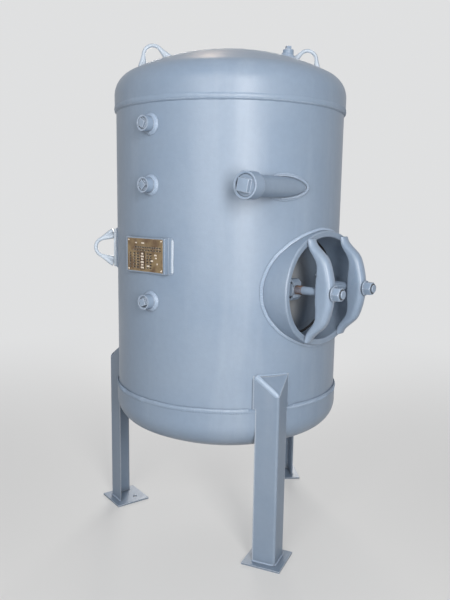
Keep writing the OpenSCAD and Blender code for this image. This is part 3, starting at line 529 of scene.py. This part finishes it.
EDGE_WIDTHS = {"foot": 0.0016, "leg": 0.0024, "bracket": 0.0009, "clip": 0.0012, "washer": 0.0010,
               "plug": 0.0016, "coupling": 0.0014, "bolt": 0.0014, "nut": 0.0015, "ring": 0.0035}
for name in nodes:
    width = EDGE_WIDTHS.get(name.split("_")[-1])
    if width:
        edged(name, width)

# %% [markdown]
# The yokes are pressed from thick plate and thickly painted, so nothing on them is sharp.
# A bevel would round their corners only. Their copies are remeshed into small even faces instead, and then
# smoothed many times over, which softens the rims of the flanges and the flared feet together.

# %% Yokes
YOKE_GRAIN = 0.0019
YOKE_PASSES = 60

for side in ("left", "right"):
    whole = copy_of(side + "_yoke", flat=radians(0.05))
    yoke = piece(side + "_yoke_pressed", whole, yoke_paint, "tank_paint", side + "_yoke")
    even = yoke.modifiers.new("even", "REMESH")
    even.mode = "VOXEL"
    even.voxel_size = YOKE_GRAIN
    even.use_smooth_shade = True
    soft = yoke.modifiers.new("soft", "SMOOTH")
    soft.factor = 0.5
    soft.iterations = YOKE_PASSES
    shown = yoke.evaluated_get(bpy.context.evaluated_depsgraph_get())
    print(yoke.name, "triangles:", sum(len(p.vertices) - 2 for p in shown.data.polygons))

# %% [markdown]
# A weld bead is a row of small overlapping ripples, never quite straight.
# A smooth tube with bump on it would keep a smooth outline where it catches the light.
# Here the bead's cross-section is a ring of a few places that is set down step by step along its path.
# Every third step is a ripple's ridge, and slow noise makes the bead wander and swell a little, as a hand
# does. A plain grid is then laid over the rings and its sides are welded, which makes the bead's skin.

# %% Weld bead helpers
RIPPLE = (1.0, 0.90, 0.80)
RIPPLE_STEP = 0.0016
BEAD_SIDES = 8
UP = Vector((0.0, 0.0, 1.0))

def even_path(points, closed):
    """The same path with evenly spaced points, so that every ripple has the same length."""
    if closed:
        points = points + [points[0]]
    total = sum((b - a).length for a, b in zip(points, points[1:]))
    count = max(6, round(total / RIPPLE_STEP / len(RIPPLE)) * len(RIPPLE))
    spaced = []
    target = 0.0
    walked = 0.0
    for a, b in zip(points, points[1:]):
        length = (b - a).length
        while target <= walked + length and len(spaced) < count:
            spaced.append(a.lerp(b, (target - walked) / length if length else 0.0))
            target += total / count
        walked += length
    return spaced

def skin(bm, rings, closed=False):
    """A grid laid over rings of places, with its sides welded. An open skin has its ends filled."""
    sides, rows = len(rings[0]), len(rings) if closed else len(rings) - 1
    grid = bmesh.ops.create_grid(bm, x_segments=sides, y_segments=rows, size=1.0)["verts"]
    for i, vert in enumerate(grid):
        row, column = divmod(i, sides + 1)
        vert.co = rings[row % len(rings)][column % sides]
    bmesh.ops.remove_doubles(bm, verts=grid, dist=0.0000005)
    if not closed:
        bmesh.ops.holes_fill(bm, edges=[e for e in bm.edges if e.is_boundary], sides=0)

def frame_at(place, ahead, outward):
    """Local Z runs along the path and local X points away from the plates."""
    along = ahead.normalized()
    out = (outward - along * outward.dot(along)).normalized()
    side = along.cross(out)
    turn = Matrix((out, side, along)).transposed().to_4x4()
    return Matrix.Translation(place) @ turn

def add_bead(bm, points, outward, width, height, closed=True, wander=0.0006, taper=1.0):
    """Lays one bead along a path. outward gives the direction away from the plates at a place."""
    path = even_path(points, closed)
    last = len(path)
    stations = []
    for i, place in enumerate(path):
        after = path[(i + 1) % last] if closed else path[min(i + 1, last - 1)]
        before = path[i - 1] if closed else path[max(i - 1, 0)]
        swell = 1.0 + 0.20 * noise.noise(place * 70.0) + 0.12 * noise.noise(place * 19.0)
        drift = wander * noise.noise(place * 30.0 + Vector((7.0, 3.0, 1.0)))
        ends = 1.0 if closed else min(1.0, 0.35 + min(i, last - 1 - i) / 5.0)
        size = RIPPLE[i % len(RIPPLE)] * swell * ends * (1.0 + (taper - 1.0) * i / last)
        frame_here = frame_at(place, after - before, outward(place))
        scale = Matrix.Diagonal((height * size, width * (0.5 + 0.5 * size) * ends, 1.0, 1.0))
        stations.append(frame_here @ Matrix.Translation((0.0, drift, 0.0)) @ scale)
    turns = [2 * pi * j / BEAD_SIDES for j in range(BEAD_SIDES)]
    section = [Vector((cos(turn), sin(turn), 0.0)) for turn in turns]
    skin(bm, [[station @ corner for corner in section] for station in stations], closed)

def bead_piece(name, runs, *replaced, paint=weld_paint):
    """One piece of one or more beads, each run given as the arguments of add_bead."""
    bm = bmesh.new()
    for run in runs:
        add_bead(bm, **run)
    bmesh.ops.recalc_face_normals(bm, faces=bm.faces)
    piece(name, bm, paint, "painted_weld", *replaced).data.shade_smooth()

# %% Where things stand, from the frame
def centre_of(name):
    low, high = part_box(name)
    return (Vector(low) + Vector(high)) / 2

def at(bearing, out, along, z):
    """A place by bearing, distance outward, distance to the right and height."""
    a = radians(bearing)
    return Vector((out * sin(a) + along * cos(a), -out * cos(a) + along * sin(a), z))

def from_axis(place):
    return Vector((place.x, place.y, 0.0)).normalized()

shell_low, shell_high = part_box("shell")
CROWN_R = 0.762
SHELL_R = (shell_high[0] - shell_low[0]) / 2
HIGH_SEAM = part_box("top_head")[0][2]
LOW_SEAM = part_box("bottom_head")[1][2]
HEAD_R = (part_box("top_head")[1][0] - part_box("top_head")[0][0]) / 2
print("Shell radius, head radius, seams:", [round(v, 4) for v in (SHELL_R, HEAD_R, LOW_SEAM, HIGH_SEAM)])

def ring_points(radius, z, count=180):
    return [at(360 * i / count, radius, 0.0, z) for i in range(count)]

def on_shell(bearing, along, z, lift=0.0):
    """A place on the shell by a sideways distance from a bearing, lifted off the plate."""
    place = at(bearing, sqrt(SHELL_R ** 2 - along ** 2), along, z)
    return place + from_axis(place) * lift

# %% Seams round the ends
LEG_BEARING = 21.3
LEG_GAP = 10.4
TOP_BEAD_LIFT = 0.0082
BEAD_SINK = 0.0014
WAVE = 0.0016
LOW_HEIGHTS = (0.0040, 0.0036, 0.0026)

def seam_arc(start, stop, z, count=240):
    """Places along a skirt's edge between two bearings, a little wavy in height."""
    points = []
    for i in range(count):
        place = at(start + (stop - start) * i / count, HEAD_R - BEAD_SINK, 0.0, z)
        points.append(place + UP * WAVE * noise.noise(place * 9.0))
    return points

def above_plate(place):
    return from_axis(place) + UP

def below_plate(place):
    return from_axis(place) - UP

top_runs = [
    dict(points=seam_arc(0.0, 360.0, HIGH_SEAM + TOP_BEAD_LIFT), outward=from_axis, width=0.0094,
         height=0.0030),
    dict(points=ring_points(SHELL_R + 0.0006, HIGH_SEAM - 0.0004), outward=below_plate, width=0.0058,
         height=0.0036)]
bead_piece("top_seam_bead", top_runs, "top_seam_weld", paint=seam_paint)
corner = ring_points(SHELL_R + 0.0008, LOW_SEAM + 0.0004)
low_runs = [dict(points=corner, outward=above_plate, width=0.0082, height=0.0056)]
for i in range(3):
    start = LEG_BEARING - 120 * i
    arc = seam_arc(start - LEG_GAP, start - 120 + LEG_GAP, LOW_SEAM)
    low_runs.append(dict(points=arc, outward=from_axis, width=0.0086, height=LOW_HEIGHTS[i], closed=False))
bead_piece("bottom_seam_bead", low_runs, "bottom_seam_weld", paint=seam_paint)
print("Runs of the lower seam:", len(low_runs))

# %% The manway's weld
MANWAY_BEARING = 50.3
manway_z = centre_of("manway_ring").z
ring_low, ring_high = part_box("manway_ring")
RING_HEIGHT = ring_high[2] - ring_low[2]
RING_LENGTH = 0.435

def oval_points(length, height, grow, count=200):
    """The four tangent arcs of the manway, as places along and above its centre."""
    a, b = length / 2, height / 2
    end_r = (b * b / a + b) / 2
    side_r = (a * a + b * b - 2 * a * end_r) / (2 * (b - end_r))
    end_c, side_c = a - end_r, side_r - b
    lean = atan2(side_c, end_c)
    outline = []
    arcs = (((end_c, 0.0), end_r, -lean, lean), ((0.0, -side_c), side_r, lean, pi - lean),
            ((-end_c, 0.0), end_r, pi - lean, pi + lean), ((0.0, side_c), side_r, pi + lean, 2 * pi - lean))
    for centre, radius, start, stop in arcs:
        for i in range(count // 4):
            turn = start + (stop - start) * i / (count // 4)
            reach = radius + grow
            outline.append((centre[0] + reach * cos(turn), centre[1] + reach * sin(turn)))
    return outline

manway_run = [on_shell(MANWAY_BEARING, u, manway_z + w, 0.0012)
              for u, w in oval_points(RING_LENGTH, RING_HEIGHT, 0.0020)]

def from_manway(place):
    centre = at(MANWAY_BEARING, SHELL_R, 0.0, manway_z)
    return (place - centre).normalized() * 0.75 + at(MANWAY_BEARING, 1.0, 0.0, 0.0) * 0.75

manway_runs = [dict(points=manway_run, outward=from_manway, width=0.0066, height=0.0058, wander=0.0012)]
bead_piece("manway_bead", manway_runs, "manway_weld")
print("Places along the manway's weld:", len(manway_run))

# %% The inlet's weld
INLET_BEARING = -37.4
PIPE_R = 0.03015
inlet_centre = centre_of("inlet_coupling")
inlet_z = inlet_centre.z
INLET_OFFSET = inlet_centre.dot(at(INLET_BEARING, 0.0, 1.0, 0.0))

def inlet_run(grow_side, grow_up, lift):
    """The pipe's outline on the shell, along the sweep of its axis."""
    points = []
    for i in range(120):
        turn = 2 * pi * i / 120
        u = INLET_OFFSET + (PIPE_R + grow_side) * cos(turn)
        points.append(on_shell(INLET_BEARING, u, inlet_z + (PIPE_R + grow_up) * sin(turn), lift))
    return points

def from_inlet(place):
    middle = on_shell(INLET_BEARING, INLET_OFFSET, inlet_z)
    return from_axis(place) + (place - middle).normalized() * 0.5

bead_piece("inlet_bead", [
    dict(points=inlet_run(0.0016, 0.0070, 0.0006), outward=from_inlet, width=0.0050, height=0.0044,
         wander=0.0014),
    dict(points=inlet_run(0.0006, 0.0024, 0.0030), outward=from_inlet, width=0.0046, height=0.0048,
         wander=0.0014)],
    "inlet_weld", paint=pipe_weld_paint)
print("Inlet's distance beside the axis:", round(INLET_OFFSET, 4))

# %% Beads round the side couplings
ROW_BEARING = -38.0
COUPLING_R = 0.02225

def round_run(bearing, z, radius, lift):
    turns = [2 * pi * i / 72 for i in range(72)]
    return [on_shell(bearing, radius * cos(t), z + radius * sin(t), lift) for t in turns]

def from_coupling(bearing, z):
    """The direction away from the shell and from a coupling's middle, as a function of the place."""
    middle = at(bearing, SHELL_R, 0.0, z)
    return lambda place: from_axis(place) + (place - middle).normalized()

for name in ("upper", "middle", "lower"):
    z = centre_of(name + "_plug").z
    outward = from_coupling(ROW_BEARING, z)
    wide_run = round_run(ROW_BEARING, z, COUPLING_R + 0.0060, 0.0012)
    near_run = round_run(ROW_BEARING, z, COUPLING_R + 0.0022, 0.0050)
    bead_piece(name + "_coupling_bead", [
        dict(points=wide_run, outward=outward, width=0.0044, height=0.0038),
        dict(points=near_run, outward=outward, width=0.0042, height=0.0040)])

# %% [markdown]
# Each leg is an angle with its corner outward, closed by a sloping cap.
# The cap has a heavy bead along its left edge and a thin one along the shell. Its right edge is plain.
# Thin beads hold the right flange to the shell and the leg to its foot plate. Beside the left flange a low
# dark bead on the shell, in a darker copy of the enamel, is painted shadow for a narrow shadowed gap.

# %% Leg beads
LEG_FLANGE = 0.0762
LEG_TOP = 0.600
CAP_FALL = 1.0
FLANK_LOW = 0.507
GAP_SIDE = 0.0064
GAP_STEP = 0.004
FOOT_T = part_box("front_foot")[1][2]
LEG_TIP = LEG_FLANGE * sin(pi / 4)
LEG_EDGE = sqrt(HEAD_R ** 2 - LEG_TIP ** 2)
LEG_APEX = LEG_EDGE + LEG_TIP

def leg_beads(name, bearing):
    """The beads of one leg, each along a straight edge of the angle or its cap."""
    def on_cap(out, along):
        return at(bearing, out, along, LEG_TOP - (out - SHELL_R) * CAP_FALL)
    def line(a, b, outward, width, height, taper=1.0):
        return dict(points=[a.lerp(b, i / 20) for i in range(21)], outward=lambda place: outward,
                    width=width, height=height, closed=False, wander=0.0012, taper=taper)
    apex = on_cap(LEG_APEX - 0.002, 0.0)
    left_top = on_cap(LEG_EDGE - 0.004, -LEG_TIP)
    face_left = at(bearing, 1.0, -1.0, 0.0)
    face_right = at(bearing, 1.0, 1.0, 0.0)
    floor_z = UP * (FOOT_T + 0.001)
    foot_left = at(bearing, LEG_EDGE, -LEG_TIP - 0.001, 0) + floor_z
    foot_right = at(bearing, LEG_EDGE, LEG_TIP + 0.001, 0) + floor_z
    corner_left = at(bearing, LEG_APEX, -0.001, 0) + floor_z
    corner_right = at(bearing, LEG_APEX, 0.001, 0) + floor_z
    flank = sqrt(SHELL_R ** 2 - LEG_TIP ** 2)
    low = at(bearing, flank, LEG_TIP + 0.003, FLANK_LOW)
    high = at(bearing, flank, LEG_TIP + 0.003, LEG_TOP + 0.002)
    runs = [line(left_top, apex, face_left + UP * 0.6, 0.0104, 0.0058, taper=0.42),
            line(foot_left, corner_left, face_left + UP, 0.0032, 0.0030),
            line(corner_right, foot_right, face_right + UP, 0.0032, 0.0030),
            line(low, high, at(bearing, 0.6, 1.0, 0.0), 0.0028, 0.0026)]
    across = [on_shell(bearing, LEG_TIP * (i / 10 - 1), LEG_TOP + 0.0035, 0.001) for i in range(21)]
    runs.append(dict(points=across, outward=above_plate, width=0.0028, height=0.0022, closed=False))
    bead_piece(name + "_bead", runs)
    # The gap bead is painted shadow: a dark copy of the enamel laid on the shell beside the left flange.
    root = [on_shell(bearing, -LEG_TIP - GAP_SIDE, LOW_SEAM + GAP_STEP + GAP_STEP * i, 0.0004)
            for i in range(int((LEG_TOP - LOW_SEAM) / GAP_STEP))]
    shadow = dict(points=root, outward=from_axis, width=0.0024, height=0.0009, closed=False, wander=0.0003)
    bead_piece(name + "_gap_shadow", [shadow], paint=gap_shadow_paint)

for i, name in enumerate(("front_leg", "left_leg", "rear_leg")):
    leg_beads(name, LEG_BEARING - 120 * i)

# %% Beads of the bracket and the pad
PLATE_BEARING = -40.5
LUG_BEARING = -85.0
plate_z = centre_of("nameplate").z
BRACKET_HALF = 0.0975
BRACKET_REACH = 0.052

def upright(along, half, bearing, middle, size):
    points = [on_shell(bearing, along, middle - half + 2 * half * i / 20, 0.0008) for i in range(21)]
    return dict(points=points, outward=from_axis, width=size, height=0.8 * size, closed=False,
                wander=0.0012)

bracket_runs = [upright(side * BRACKET_HALF, BRACKET_REACH, PLATE_BEARING, plate_z, 0.0046)
                for side in (-1, 1)]
# The lugs' paler paint on these beads is painted highlight.
bead_piece("bracket_bead", bracket_runs, paint=lug_paint)

pad_z = centre_of("side_lug").z
PAD_HALF = (0.0232, 0.0652)
pad_corners = [(-1, -1), (1, -1), (1, 1), (-1, 1)]
pad_run = []
for (a, b), (c, d) in zip(pad_corners, pad_corners[1:] + pad_corners[:1]):
    for i in range(12):
        along = (a + (c - a) * i / 12) * PAD_HALF[0]
        pad_run.append(on_shell(LUG_BEARING, along, pad_z + (b + (d - b) * i / 12) * PAD_HALF[1], 0.001))
pad_runs = [dict(points=pad_run, outward=from_axis, width=0.0034, height=0.0034)]
bead_piece("pad_bead", pad_runs)
print("Places round the pad:", len(pad_run))

# %% Beads on the ends' crowns
def on_crown(centre, radius, angle):
    """A place on a circle round a point, and how far the end's crown has sunk there."""
    place = Vector((centre.x + radius * cos(angle), centre.y + radius * sin(angle), 0.0))
    sag = CROWN_R - sqrt(CROWN_R ** 2 - place.length ** 2)
    return place, sag

def crown_bead(name, node, way, rings):
    """Beads round a coupling on an end's crown, each given as its radius, height off the plate and size."""
    centre = centre_of(node)
    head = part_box("top_head" if way > 0 else "bottom_head")
    top = head[1][2] if way > 0 else head[0][2]
    def outward(place):
        away = Vector((place.x - centre.x, place.y - centre.y, 0.0)).normalized()
        return away + UP * way
    runs = []
    for radius, lift, size in rings:
        points = []
        for i in range(72):
            place, sag = on_crown(centre, radius, 2 * pi * i / 72)
            points.append(Vector((place.x, place.y, top - way * (sag - lift))))
        runs.append(dict(points=points, outward=outward, width=size, height=0.8 * size))
    bead_piece(name, runs)

VENT_RINGS = ((0.0225, 0.001, 0.0120), (0.0188, 0.012, 0.0075), (0.0176, 0.018, 0.0050))
DRAIN_RINGS = ((0.0265, 0.001, 0.0050),)
crown_bead("vent_bead", "vent_plug", 1, VENT_RINGS)
crown_bead("drain_bead", "drain_plug", -1, DRAIN_RINGS)

# %% [markdown]
# The lifting lugs are bent from round bar, and their feet were flattened before they were welded on.
# Each is a rounded section swept along two straight legs and a round crown. Towards a foot the section grows
# squarer and wider, and a groove opens along its broad faces.

# %% Lifting lugs
LUG_SPAN, LUG_HEIGHT, LUG_BEND = 0.098, 0.0636, 0.031
LUG_BAR, FOOT_WIDTH, FOOT_THICK = 0.0122, 0.025, 0.033
LUG_STEPS, LUG_SIDES = 84, 28
lug_centre = LUG_HEIGHT - LUG_BEND
lug_leave = acos(LUG_BEND / sqrt((LUG_SPAN / 2) ** 2 + lug_centre ** 2)) - atan2(lug_centre, LUG_SPAN / 2)
lug_joint = Vector((LUG_BEND * cos(lug_leave), lug_centre + LUG_BEND * sin(lug_leave)))
lug_foot = Vector((LUG_SPAN / 2, 0.0))

def lug_path(t, sunk):
    """A place on the bar's centre line: across the feet, and above the plate."""
    root = lug_foot + (lug_foot - lug_joint) * sunk
    if t < 0.3:
        return root.lerp(lug_joint, t / 0.3)
    if t > 0.7:
        place = root.lerp(lug_joint, (1 - t) / 0.3)
        return Vector((-place.x, place.y))
    turn = lug_leave + (pi - 2 * lug_leave) * (t - 0.3) / 0.4
    return Vector((LUG_BEND * cos(turn), lug_centre + LUG_BEND * sin(turn)))

def lug_bar(name, place, across, outward, sunk, *replaced):
    """A lug at a place, its feet apart along one direction and its crown away from the plate."""
    bm = bmesh.new()
    edge_on = across.cross(outward)
    rings = []
    for i in range(LUG_STEPS + 1):
        t = i / LUG_STEPS
        here = lug_path(t, sunk)
        ahead = (lug_path(min(t + 0.01, 1.0), sunk) - lug_path(max(t - 0.01, 0.0), sunk)).normalized()
        side = Vector((ahead.y, -ahead.x))
        near = min(1.0, (0.5 - abs(t - 0.5)) / 0.34)
        foot = (1 + cos(pi * near)) / 2
        wide = (LUG_BAR + (FOOT_WIDTH - LUG_BAR) * foot) / 2
        thick = (LUG_BAR + (FOOT_THICK - LUG_BAR) * foot) / 2
        ring = []
        for j in range(LUG_SIDES):
            c, s = cos(2 * pi * j / LUG_SIDES), sin(2 * pi * j / LUG_SIDES)
            u = (abs(c) ** (1.0 - 0.4 * foot)) * (1 if c > 0 else -1) * thick
            v = (abs(s) ** (1.0 - 0.4 * foot)) * (1 if s > 0 else -1) * wide
            v *= 1.0 - 0.42 * foot * exp(-(u / (0.30 * thick)) ** 2)
            flat = here + side * u
            ring.append(place + across * flat.x + outward * flat.y + edge_on * v)
        rings.append(ring)
    skin(bm, rings)
    bmesh.ops.recalc_face_normals(bm, faces=bm.faces)
    return piece(name, bm, lug_paint, "tank_paint", *replaced)

LUG_R = 0.249
LUG_LEAN = asin(LUG_R / CROWN_R)
LUG_SUNK = 0.18
top_of_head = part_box("top_head")[1][2]
lug_seat = top_of_head - (CROWN_R - sqrt(CROWN_R ** 2 - LUG_R ** 2))
for name, bearing in (("left_lifting_lug", LUG_BEARING), ("right_lifting_lug", LUG_BEARING + 180)):
    down_slope = at(bearing, cos(LUG_LEAN), 0.0, -sin(LUG_LEAN))
    off_plate = at(bearing, sin(LUG_LEAN), 0.0, cos(LUG_LEAN))
    lug_bar(name + "_bar", at(bearing, LUG_R, 0.0, lug_seat), down_slope, off_plate, LUG_SUNK, name)

# %% The lower lug's pad
PAD_T = 0.0127
PAD_ROUND = 0.0022
pad_half = (0.022, 0.064)
bm = bmesh.new()
pad_rings = []
for out in (sqrt((SHELL_R - 0.002) ** 2 - pad_half[0] ** 2), SHELL_R + PAD_T):
    pad_rings.append([at(LUG_BEARING, out, side * pad_half[0], pad_z + way * pad_half[1])
                      for side, way in pad_corners])
skin(bm, pad_rings)
bmesh.ops.recalc_face_normals(bm, faces=bm.faces)
bmesh.ops.bevel(bm, geom=list(bm.edges), affect="EDGES", offset=PAD_ROUND, segments=3, profile=0.5,
                material=-1)
piece("side_lug_pad", bm, lug_paint, "tank_paint", "side_lug")
pad_face = at(LUG_BEARING, SHELL_R + PAD_T, 0.0, pad_z)
lug_bar("side_lug_bar", pad_face, UP, at(LUG_BEARING, 1.0, 0.0, 0.0), 0.0)

# %% [markdown]
# A screw thread is a small ridge that climbs one pitch in each turn.
# Its valley, crest and valley are spun about the bolt with a rise at each step, and the doubled valley line
# is merged. A flat collar at the start shows the rust on the inner thread. On the outer thread the dark
# finish and its wide collar are painted shadow: the shade in the nut's mouth.

# %% Bolt threads
THREAD_PITCH = 0.003175
THREAD_STEPS = 20
THREAD_PROFILE = ((0.0002, 0.0), (0.0011, 0.5), (0.0002, 1.0))
BOLT_R = 0.0127
COLLAR_RISE = 0.0004

def thread(name, side, start, length, material, collar, lift):
    """A threaded sleeve and its collar on a manway bolt, from a distance out along the manway's axis."""
    centre = centre_of(side + "_bolt")
    along = centre.dot(at(MANWAY_BEARING, 0.0, 1.0, 0.0))
    axis = at(MANWAY_BEARING, 1.0, 0.0, 0.0)
    turns = round(length / THREAD_PITCH)
    bm = bmesh.new()
    profile = [bm.verts.new((BOLT_R + crest, 0.0, rise * THREAD_PITCH)) for crest, rise in THREAD_PROFILE]
    edges = [bm.edges.new(pair) for pair in zip(profile, profile[1:])]
    bmesh.ops.spin(bm, geom=profile + edges, cent=(0, 0, 0), axis=(0, 0, 1),
                   dvec=(0, 0, THREAD_PITCH / THREAD_STEPS), angle=2 * pi * turns,
                   steps=THREAD_STEPS * turns)
    rim = bmesh.ops.create_circle(bm, cap_ends=False, segments=THREAD_STEPS * 2, radius=BOLT_R + collar,
                                  matrix=Matrix.Translation((0.0, 0.0, lift)))["verts"]
    rim_edges = list({edge for vert in rim for edge in vert.link_edges})
    inner = bmesh.ops.extrude_edge_only(bm, edges=rim_edges)["geom"]
    inner = [part for part in inner if isinstance(part, bmesh.types.BMVert)]
    share = BOLT_R / (BOLT_R + collar)
    bmesh.ops.scale(bm, vec=(share, share, 1.0), verts=inner)
    bmesh.ops.translate(bm, vec=(0.0, 0.0, COLLAR_RISE), verts=inner)
    bmesh.ops.remove_doubles(bm, verts=bm.verts, dist=0.00001)
    bmesh.ops.recalc_face_normals(bm, faces=bm.faces)
    turn = frame_at(at(MANWAY_BEARING, start, along, manway_z), axis, UP)
    bmesh.ops.transform(bm, matrix=turn, verts=bm.verts)
    return piece(name, bm, material, "bolt_steel")

RING_STAND = 0.0183
RING_FACE = SHELL_R + RING_STAND
for side in ("left", "right"):
    thread(side + "_inner_thread", side, RING_FACE - 0.0475, 0.026, rust, 0.0005, 0.0003)
    nut_face = max(v.co.dot(at(MANWAY_BEARING, 1, 0, 0)) for v in nodes[side + "_nut"].data.vertices)
    # The outer thread's dark finish and wide collar are painted shadow in the mouth of the nut.
    thread(side + "_outer_thread", side, nut_face - 0.0035, 0.0062, thread_shadow, 0.0038, 0.0037)

# %% [markdown]
# The brass plate keeps the look of a data plate without its words: rows of small blank fields sunk in dark
# enamel, polished raised ones where values would be stamped, and a rivet at each corner. The raised fields
# and the rivets are pale brass, partly polish and partly painted glint.
# Every field is one face that is inset and pushed in or out, which gives it a rim that catches the light.

# %% Nameplate fields
plate_low, plate_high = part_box("nameplate")
print("Plate height in metres:", round(plate_high[2] - plate_low[2], 3))
BRACKET_STAND, PLATE_T = 0.008, 0.001
PLATE_FACE = SHELL_R + BRACKET_STAND + PLATE_T
ENAMEL, POLISHED_AND_GLINT, STAINED = 1, 2, 3
plate_axis = at(PLATE_BEARING, 1.0, 0.0, 0.0)
plate_turn = Matrix((at(PLATE_BEARING, 0.0, 1.0, 0.0), UP, plate_axis)).transposed().to_4x4()
plate_matrix = Matrix.Translation(at(PLATE_BEARING, PLATE_FACE, 0.0, plate_z)) @ plate_turn

def field(bm, x, y, width, height, rim, sink, lift, inner_index):
    """One blank field: a face with a rim round a sunk or raised middle."""
    matrix = Matrix.Translation((x, y, lift)) @ Matrix.Diagonal((width, height, 1.0, 1.0))
    verts = bmesh.ops.create_grid(bm, x_segments=1, y_segments=1, size=0.5, matrix=matrix)["verts"]
    face = verts[0].link_faces[0]
    bmesh.ops.inset_individual(bm, faces=[face], thickness=rim, depth=sink)
    face.material_index = inner_index

bm = bmesh.new()
def marks(y, places, height, index, rim=0.0005):
    """A row of small blank fields, each given as its middle and width."""
    for x, width in places:
        field(bm, x, y, width, height, rim, 0.0004 if index == POLISHED_AND_GLINT else -0.0003, 0.0010, index)

marks(0.0365, ((-0.038, 0.0075), (-0.008, 0.013)), 0.0045, POLISHED_AND_GLINT)
marks(0.0235, [(-0.040 + 0.0105 * i, 0.0085) for i in range(11)], 0.0050, ENAMEL)
marks(0.0150, [(-0.046 + 0.0125 * i, 0.0085) for i in range(10)], 0.0046, ENAMEL)
field(bm, -0.0115, -0.0165, 0.0230, 0.0560, 0.0006, -0.0003, 0.0009, STAINED)
for row in range(6):
    y = 0.0040 - 0.0085 * row
    marks(y, ((-0.066, 0.0065), (-0.047, 0.0080), (-0.031, 0.0110)), 0.0052, ENAMEL)
    marks(y, ((-0.0105, 0.0095 + 0.0040 * (row % 2)),), 0.0054, POLISHED_AND_GLINT)
    marks(y, ((0.0115, 0.0080), (0.0250, 0.0080 if row % 2 else 0.0120)), 0.0050, ENAMEL)
for x, y, width in ((0.0480, 0.0020, 0.0100), (0.0500, -0.0065, 0.0070), (0.0330, -0.0160, 0.0110),
                    (0.0560, -0.0240, 0.0050), (0.0160, -0.0325, 0.0120)):
    marks(y, ((x, width),), 0.0048, POLISHED_AND_GLINT)
bmesh.ops.transform(bm, matrix=plate_matrix, verts=bm.verts)
fields = piece("nameplate_fields", bm, brass, "brass_plate")
for finish in (brass_field, brass_polish_and_glint, brass_stain):
    fields.data.materials.append(finish)

# %% Rivets
bm = bmesh.new()
for side in (-1, 1):
    for way in (-1, 1):
        place = Matrix.Translation((side * 0.0725, way * 0.0445, 0.0006))
        bmesh.ops.create_uvsphere(bm, u_segments=20, v_segments=10, radius=0.0026,
                                  matrix=place @ Matrix.Diagonal((1.0, 1.0, 0.55, 1.0)))
bmesh.ops.transform(bm, matrix=plate_matrix, verts=bm.verts)
# The rivets' pale brass is partly polish and partly painted glint.
piece("nameplate_rivets", bm, brass_polish_and_glint, "brass_plate").data.shade_smooth()
print("Fields on the plate:", len([p for p in fields.data.polygons if p.material_index]))
